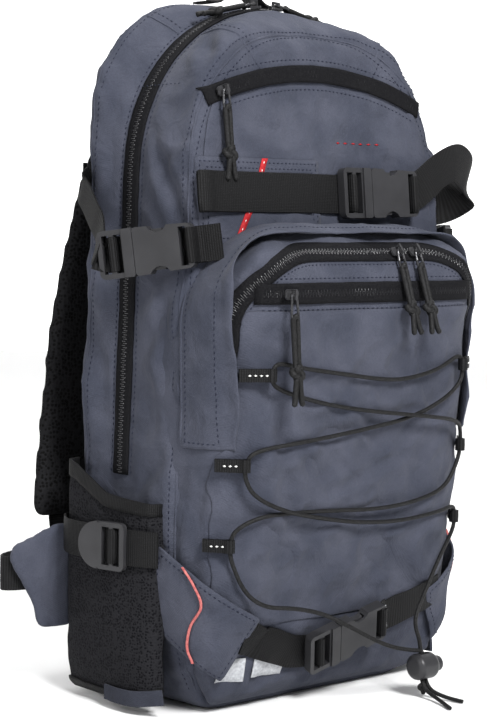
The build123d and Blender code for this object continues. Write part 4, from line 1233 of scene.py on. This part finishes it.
def wing_wave(u, z, inner):
    """The wing stands off in loose waves towards its free corner."""
    free = max(0.0, min(1.0, (u + 70) / 60))
    return 1.6 * free * math.sin(z / 9.0 + u / 14.0) + crumple(at(u, z, 0), 22, 1.6, 14.0) * (0.4 + free)


wing = patch("lower_wing_left", WING_OUTLINE, on_corner, 8.4, crown=0.8, depth=1.8, wave=wing_wave, step=3.4)
modified(wing, "SUBSURF", levels=1)
dressed(wing, CANVAS, stands_for=("lash_wings",))
both_sides(wing, "lower_wing_right")
wing_tree = tree(wing)


def on_wing(u, z):
    """A place on the wing seen straight on to it."""
    origin = WING_RIGHT * u * MM + Z * z * MM
    return hit(wing_tree, origin + WING_OUT * FAR, -WING_OUT, on_corner(u, z))


PIPING = [(-58, 107), (-50, 96), (-45, 82), (-52, 67), (-54, 52), (-50, 41)]
pipe_line = [on_wing(p.x, p.y) for p in curved_path([at(u, z, 0) / MM for u, z in PIPING], 1500)]
pipe_rows = [[raised(s, 1.2) + WING_RIGHT * d * MM for d in (-0.9, 0, 0.9)] for s in pipe_line]
pipe = dressed(thick(grid("wing_piping", pipe_rows), 1.6, 0.0), PINK)
both_sides(pipe, "wing_piping_right")
WING_HEM = [(-80, 66), (-33, 30), (-8, 69), (-74, 114), (-80, 66)]
hem = seam_thread("wing_stitches", [on_wing(p.x, p.y) for p in evened([Vector(p) for p in WING_HEM], 3.0)])
both_sides(hem, "wing_stitches_right")


def eased(vectors, rounds):
    """Neighbouring vectors averaged a number of times, with both ends kept."""
    for _ in range(rounds):
        inner = [(a + b * 2 + c) / 4 for a, b, c in zip(vectors, vectors[1:], vectors[2:])]
        vectors = [vectors[0]] + inner + [vectors[-1]]
    return vectors


def surface_strap(name, points, surface, width, lift, stands_for=(), mat=WEBBING, depth=1.5, ease=0):
    """Webbing that follows a surface through front-view points."""
    spots = straight(points, surface, 4.0)
    path = eased([raised(s, lift) for s in spots], ease)
    across = eased([s[1].cross(heading(path, i)).normalized() for i, s in enumerate(spots)], ease)
    piece = ribbon(name, path, [v.normalized() for v in across], width, depth)
    return dressed(piece, mat, stands_for=stands_for)
LEFT_STRAP = [(-91, 58), (-80, 54), (-40, 40), (-12, 37)]
RIGHT_STRAP = [(12, 45), (40, 53), (80, 65), (98, 71.5)]
surface_strap("lower_strap_left", LEFT_STRAP, pouch_tree, STRAP_WIDE, 2.8, ("lower_strap",))
surface_strap("lower_strap_right", RIGHT_STRAP, pouch_tree, STRAP_WIDE, 3.0, ease=6)
lower_place, lower_y = seat((-6, -79.2, 45), (0.955, -0.0961, 0.28), (0, -0.945, -0.326))
bar_wrap("lower_male_wrap", lower_place, lower_y, -16.4, STRAP_INSIDE, "lower_buckle_prong", high=6.4, end=7)
bar_wrap("lower_female_wrap", lower_place, lower_y, 40.8, STRAP_INSIDE, "pack", end=8)
for k, (xa, xb) in enumerate(((-104, -77), (-73, -43))):
    surface_strap(f"reflective_print_{k}", [(xa, 33), (xb, 31)], pouch_tree, 17, 1.0, mat=REFLECT, depth=0.7)
surface_strap("reflective_print_2", [(43, 55), (50, 57)], pouch_tree, 19, 5.2, mat=REFLECT, depth=0.7)
BASE_TAB = [(-143.5, 8, 11), (-144.5, -8, 11), (-142.5, -26, 12), (-134, -44, 15)]
for tag, sign in SIDES:
    fold = [mirrored(p, sign) for p in BASE_TAB]
    dressed(ribbon("base_tab_" + tag, curved_path([at(*p) for p in fold]), Z, 11, 2.0), CANVAS_DARK)

# ---- elastic cord, its loops and knot ----

CORD_WIDE = 3.0
LOOP_HIGH = 9.0
LOOPS = [
    (239, (-111, -94.5), (-94, -105.6)),
    (178, (-119, -80.5), (-106, -94.0)),
    (123, (-121, -71.5), (-111, -85.0)),
]
CORD_ROUTE = [at(*p) for p in [
    (40, -150, 1.7), (49, -131, 2.6), (50, -112, 8), (50, -112, 39), (44, -109, 56), (58, -105, 72),
    (82, -98, 97), (110, -86, 114), (111, -85, 123), (109, -86.5, 132), (86, -94.5, 130),
    (44, -95.5, 127), (-1, -96.5, 130), (-44, -98.5, 138), (-78, -101.5, 146), (-100, -96.5, 157),
    (-106, -93.5, 169), (-106, -94, 179), (-102, -97, 188), (-64, -104.2, 192), (-10, -105.8, 197),
    (40, -107, 203), (75, -105.8, 214), (93.5, -105, 226), (94, -105.6, 239), (90, -105.8, 247),
    (66, -107.6, 236), (30, -110.2, 231), (5, -110.4, 232), (-35, -110.8, 238), (-70, -108.6, 243),
    (-91, -106.2, 248), (-94, -105.6, 239), (-92, -105.4, 230), (-50, -107.6, 218), (-10, -108.4, 211),
    (50, -112.5, 204), (92, -104.5, 198), (105.5, -94.5, 188), (106, -94, 177), (104, -94, 167),
    (90, -95.8, 148), (60, -98, 141), (20, -97.4, 138), (-30, -97.2, 141.5), (-62, -97.5, 143),
    (-92, -94.9, 143), (-109, -86.5, 134), (-111, -85, 123), (-110, -85.5, 112), (-100, -88.5, 90),
    (-84, -92, 79), (-62, -97, 77), (-38, -102, 71), (-12, -107, 57), (16, -110.5, 42), (40, -112, 36),
    (54, -112, 34), (54, -112, 8), (57, -128, 2.2), (61, -143, 1.7),
]]
KNOT = (52, -113, 7.4)


def loop_piece(name, z, root, eye):
    """A webbing loop folded round the cord, its two ends sewn flat together."""
    a, b = Vector(root), Vector(eye)
    along = (b - a).normalized()
    side = Vector((-along.y, along.x))
    points = [a + side * 0.8 - along * 2, b - along * 5 + side * 1.2, b + side * 3.1]
    points += [b + along * 3.1, b - side * 3.1, b - along * 5 - side * 1.2, a - side * 0.8 - along * 2]
    path = curved_path([at(p.x, p.y, z) for p in points], 1.0)
    return ribbon(name, path, Z, LOOP_HIGH, 1.2)


loops, dashes = [], []
for k, (z, root, eye) in enumerate(LOOPS):
    loops.append(loop_piece("loop", z, root, eye))
    a, b = at(*root, z), at(*eye, z)
    out = (b - a).cross(Z).normalized()
    if out.y > 0:
        out = -out
    dash_line = [(a.lerp(b, t) + out * 2.1 * MM, out) for t in (0.15, 0.5, 0.95)]
    dashes.append(stitches("dash", dash_line, long=2.6, gap=1.3, radius=0.55))
both_sides(dressed(joined("cord_loops_left", loops), WEBBING, stands_for=("cord_loops",)), "cord_loops_right")
both_sides(dressed(joined("loop_tracers_left", dashes), TRACER), "loop_tracers_right")


def knot(name, middle, size, radius):
    """An overhand knot: a closed trefoil of cord pulled tight."""
    path = []
    for k in range(73):
        t = 2 * math.pi * k / 72
        across, up = math.sin(t) + 2 * math.sin(2 * t), math.cos(t) - 2 * math.cos(2 * t)
        path.append(middle + Vector((across, -0.8 * math.sin(3 * t), up)) * size * MM / 3)
    return rod(name, path, radius, sides=8, taper=False)


def elastic():
    """The laced cord as one smooth curve of its real length."""
    curve = bpy.data.curves.new("elastic_cord_line", "CURVE")
    curve.dimensions = "3D"
    curve.bevel_depth = CORD_WIDE / 2 * MM
    curve.bevel_resolution = 3
    curve.use_fill_caps = True
    spline = curve.splines.new("NURBS")
    spline.points.add(len(CORD_ROUTE) - 1)
    for point, p in zip(spline.points, CORD_ROUTE):
        point.co = (*p, 1)
    spline.order_u = 3
    spline.use_endpoint_u = True
    spline.resolution_u = 8
    return new_object("elastic_cord_line", curve)


line = dressed(elastic(), CORD, stands_for=("elastic_cord",))
cord_knot = dressed(knot("elastic_cord_knot", at(*KNOT), 3.6, 1.7), CORD)

# ---- zip pulls ----

WIRE_RADIUS, PULL_CORD = 0.9, 1.9
PIVOTS = {j["name"]: Vector(j["pos_m"]) for j in frame["joints"] if "pos_m" in j}


def zip_pull(name, body, way, wide, length, stands_for):
    """A wire bail, a cord folded through it, a knot and two free ends, from the slider's pivot."""
    origin = PIVOTS[name + "_lift"]
    x, y = Vector(way).normalized(), Vector(wide).normalized()
    z = x.cross(y)

    def line(points, step=1.0):
        return curved_path([origin + (x * a + y * b + z * c) * MM for a, b, c in points], step)

    bail, knot_at = 0.22 * length, 0.7 * length
    half_wire = [(0, 1.9, 0), (1, 2.1, 0), (bail * 0.5, 2.6, 0), (bail - 1.5, 2.9, 0)]
    wire = [(a, -b, c) for a, b, c in half_wire] + [(bail, 0, 0)] + half_wire[::-1] + [(0, -1.9, 0)]
    metal = rod(name + "_wire", line(wire), WIRE_RADIUS, sides=6, taper=False)
    dressed(metal, WIRE, body, (stands_for,))
    half_fold = [(knot_at, 1.4, 0), (bail + 4, 1.85, 0), (bail, 1.7, 0)]
    fold = [(a, -b, c) for a, b, c in half_fold] + [(bail - 2.2, 0, 1.4)] + half_fold[::-1]
    pieces = [rod("fold", line(fold), PULL_CORD, sides=8)]
    for s in (-1, 1):
        end = [(knot_at, s * 0.9, 0), (knot_at + 5, s * 1.6, 0.4)]
        end += [(length - 4, s * 2.9, -0.3), (length, s * 4.2, 0)]
        pieces.append(rod("end", line(end, 1.2), PULL_CORD, sides=8))
    tight = knot("tight", Vector((0, 0, 0)), 4.6, 2.2)
    middle = origin + x * knot_at * MM
    tight.data.transform(Matrix.Translation(middle) @ Matrix((x, z, y)).transposed().to_4x4())
    return dressed(joined(name + "_cord", pieces + [tight]), CORD, body)


LEAN, HANG = math.radians(13), math.radians(1.5)
FRONT_DOWN = Vector((0, -0.1029, -0.9947))
TOP_WAY = FRONT_DOWN * math.cos(HANG) + Vector(FRONT_OUT) * math.sin(HANG)
MAIN_WAY = (math.cos(LEAN), 0, -math.sin(LEAN))
OUTER_WAY = (0, -0.326, -0.9456)
zip_pull("main_pull_right", "main_pull_right", MAIN_WAY, Y, 52, "main_zip_pull_right")
zip_pull("main_pull_left", "main_pull_left", mirrored(MAIN_WAY, -1), Y, 52, "main_zip_pull_left")
zip_pull("top_pull", "top_pull", TOP_WAY, X, 62, "top_pocket_pull")
for side in ("left", "right"):
    zip_pull("outer_pull_" + side, "outer_pull_" + side, OUTER_WAY, X, 62, "outer_zip_pull_" + side)
zip_pull("pouch_pull", "pouch_pull_body", (0, -0.087, -0.996), X, 74, "pouch_pull")

# ---- back, shoulder straps, hip fins and haul loop ----


def padded_piece(name, node_name, voxel, mat, body="pack", swell=1.0):
    """A foam piece from its CAD solid: an even mesh, softened and a little full."""
    piece = remeshed(copied(name, node_name), voxel, 6)
    displaced(piece, lambda co, n: swell + crumple(co, 40, 0.9, 7.0))
    modified(piece, "SUBSURF", levels=1)
    dressed(piece, mat, body, (node_name,))
    return piece


FOOT = [(100.5, 128), (99.4, 116), (94, 98), (86, 78), (70.8, 60), (70.4, 46)]
HIP = [(-142.5, 74.2), (-156, 78.8), (-170.5, 83.6), (-175, 90)]
HIP += [(-166, 99), (-140, 108), (-112, 109.6), (-90, 110.3)]
HAUL = [(-36, 498.8), (-26, 499.6), (-17, 505.4), (-4, 507.6), (9, 506.6), (19, 500.4), (30, 499)]
padded_piece("back_padding", "back_pads", 4.0, SPACER)
for side, sign in SIDES:
    padded_piece("padded_strap_" + side, "shoulder_strap_" + side, 4.0, SPACER, swell=0.6)
    padded_piece("padded_fin_" + side, "hip_fin_" + side, 3.0, CANVAS, "fin_" + side, swell=0.4)
    foot = [(sign * -114, y, z) for y, z in FOOT]
    chest = [(sign * x, 115.6, 372) for x in (-86, -60, -30, -5)]
    first = sign > 0
    strap("shoulder_webbing_" + side, foot, X, STRAP_WIDE, stands_for=("shoulder_webbing",) if first else ())
    strap("chest_strap_" + side, chest, Z, CHEST_WIDE, stands_for=("chest_strap",) if first else ())
    hip = [(sign * x, y, 86) for x, y in HIP]
    strap("hip_webbing_piece_" + side, hip, Z, STRAP_WIDE, "fin_" + side, ("hip_webbing_" + side,))
strap("haul_loop_webbing", [(x, 41, z) for x, z in HAUL], Y, HAUL_WIDE, stands_for=("haul_loop",), depth=1.8)

# ---- camera and light ----

CAMERA_AZIMUTH, CAMERA_ELEVATION, CAMERA_ROLL = -41.6, 4.5, 0.9
CAMERA_DISTANCE, CAMERA_LENS = 1.43, 97.05
CAMERA_SHIFT = -19  # millimetres that the aim is moved sideways from the pack's middle


# name, place, target, size in metres and power in watts
LAMPS = [
    ("key", (-0.5, -1.9, 1.9), (0, 0, 0.25), 0.7, 106),
    ("side", (-2.2, -0.4, 1.2), (0, 0, 0.25), 1.0, 17),
    ("top", (0.2, 0.4, 2.2), (0, 0, 0.3), 1.0, 34),
]
WORLD_LIGHT, BACKDROP_LIGHT, BACKDROP_AWAY = 0.32, 0.62, 3.2


def camera():
    """A long lens from the front left, a little above the middle."""
    a, e = math.radians(CAMERA_AZIMUTH), math.radians(CAMERA_ELEVATION)
    back = Vector((math.sin(a) * math.cos(e), -math.cos(a) * math.cos(e), math.sin(e)))
    right = Vector((math.cos(a), math.sin(a), 0))
    up = back.cross(right)
    roll = math.radians(CAMERA_ROLL)
    right, up = right * math.cos(roll) + up * math.sin(roll), up * math.cos(roll) - right * math.sin(roll)
    target = at(0, 0, 238) + Vector((math.cos(a), math.sin(a), 0)) * CAMERA_SHIFT * MM
    place = target + back * CAMERA_DISTANCE
    data = bpy.data.cameras.new("camera")
    data.lens, data.sensor_width = CAMERA_LENS, 36
    cam = new_object("camera", data)
    cam.matrix_world = Matrix((
        (right.x, up.x, back.x, place.x),
        (right.y, up.y, back.y, place.y),
        (right.z, up.z, back.z, place.z),
        (0, 0, 0, 1),
    ))
    bpy.context.scene.camera = cam


def area_light(name, place, target, size, power):
    """A soft square light aimed at a place."""
    data = bpy.data.lights.new(name, "AREA")
    data.size, data.energy = size, power
    lamp = new_object(name, data)
    lamp.location = place
    lamp.rotation_mode = "QUATERNION"
    lamp.rotation_quaternion = (Vector(target) - Vector(place)).to_track_quat("-Z", "Y")


def studio():
    """A pale floor and plain soft light."""
    floor = make("floor", [(-6, -6, 0), (6, -6, 0), (6, 6, 0), (-6, 6, 0)], [(0, 1, 2, 3)])
    floor.data.materials.append(material("pale_floor", (0.86, 0.86, 0.86), roughness=0.9))
    floor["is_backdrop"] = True
    turn = math.radians(CAMERA_AZIMUTH)
    far = Vector((-math.sin(turn), math.cos(turn), 0)) * BACKDROP_AWAY
    wide = Vector((math.cos(turn), math.sin(turn), 0)) * 6
    corners = [far - wide, far + wide, far + wide + Z * 5, far - wide + Z * 5]
    backdrop = make("backdrop", corners, [(0, 1, 2, 3)])
    glow = material("lit_backdrop", (0.9, 0.9, 0.9), roughness=1.0)
    shader_of(glow)["Emission Color"].default_value = (1, 1, 1, 1)
    shader_of(glow)["Emission Strength"].default_value = BACKDROP_LIGHT
    backdrop.data.materials.append(glow)
    backdrop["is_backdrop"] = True
    world = bpy.data.worlds.new("studio")
    world.use_nodes = True
    world.node_tree.nodes["Background"].inputs["Color"].default_value = (1, 1, 1, 1)
    world.node_tree.nodes["Background"].inputs["Strength"].default_value = WORLD_LIGHT
    bpy.context.scene.world = world
    for lamp in LAMPS:
        area_light(*lamp)
    bpy.context.scene.view_settings.view_transform = "Standard"


camera()
studio()

low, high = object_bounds()
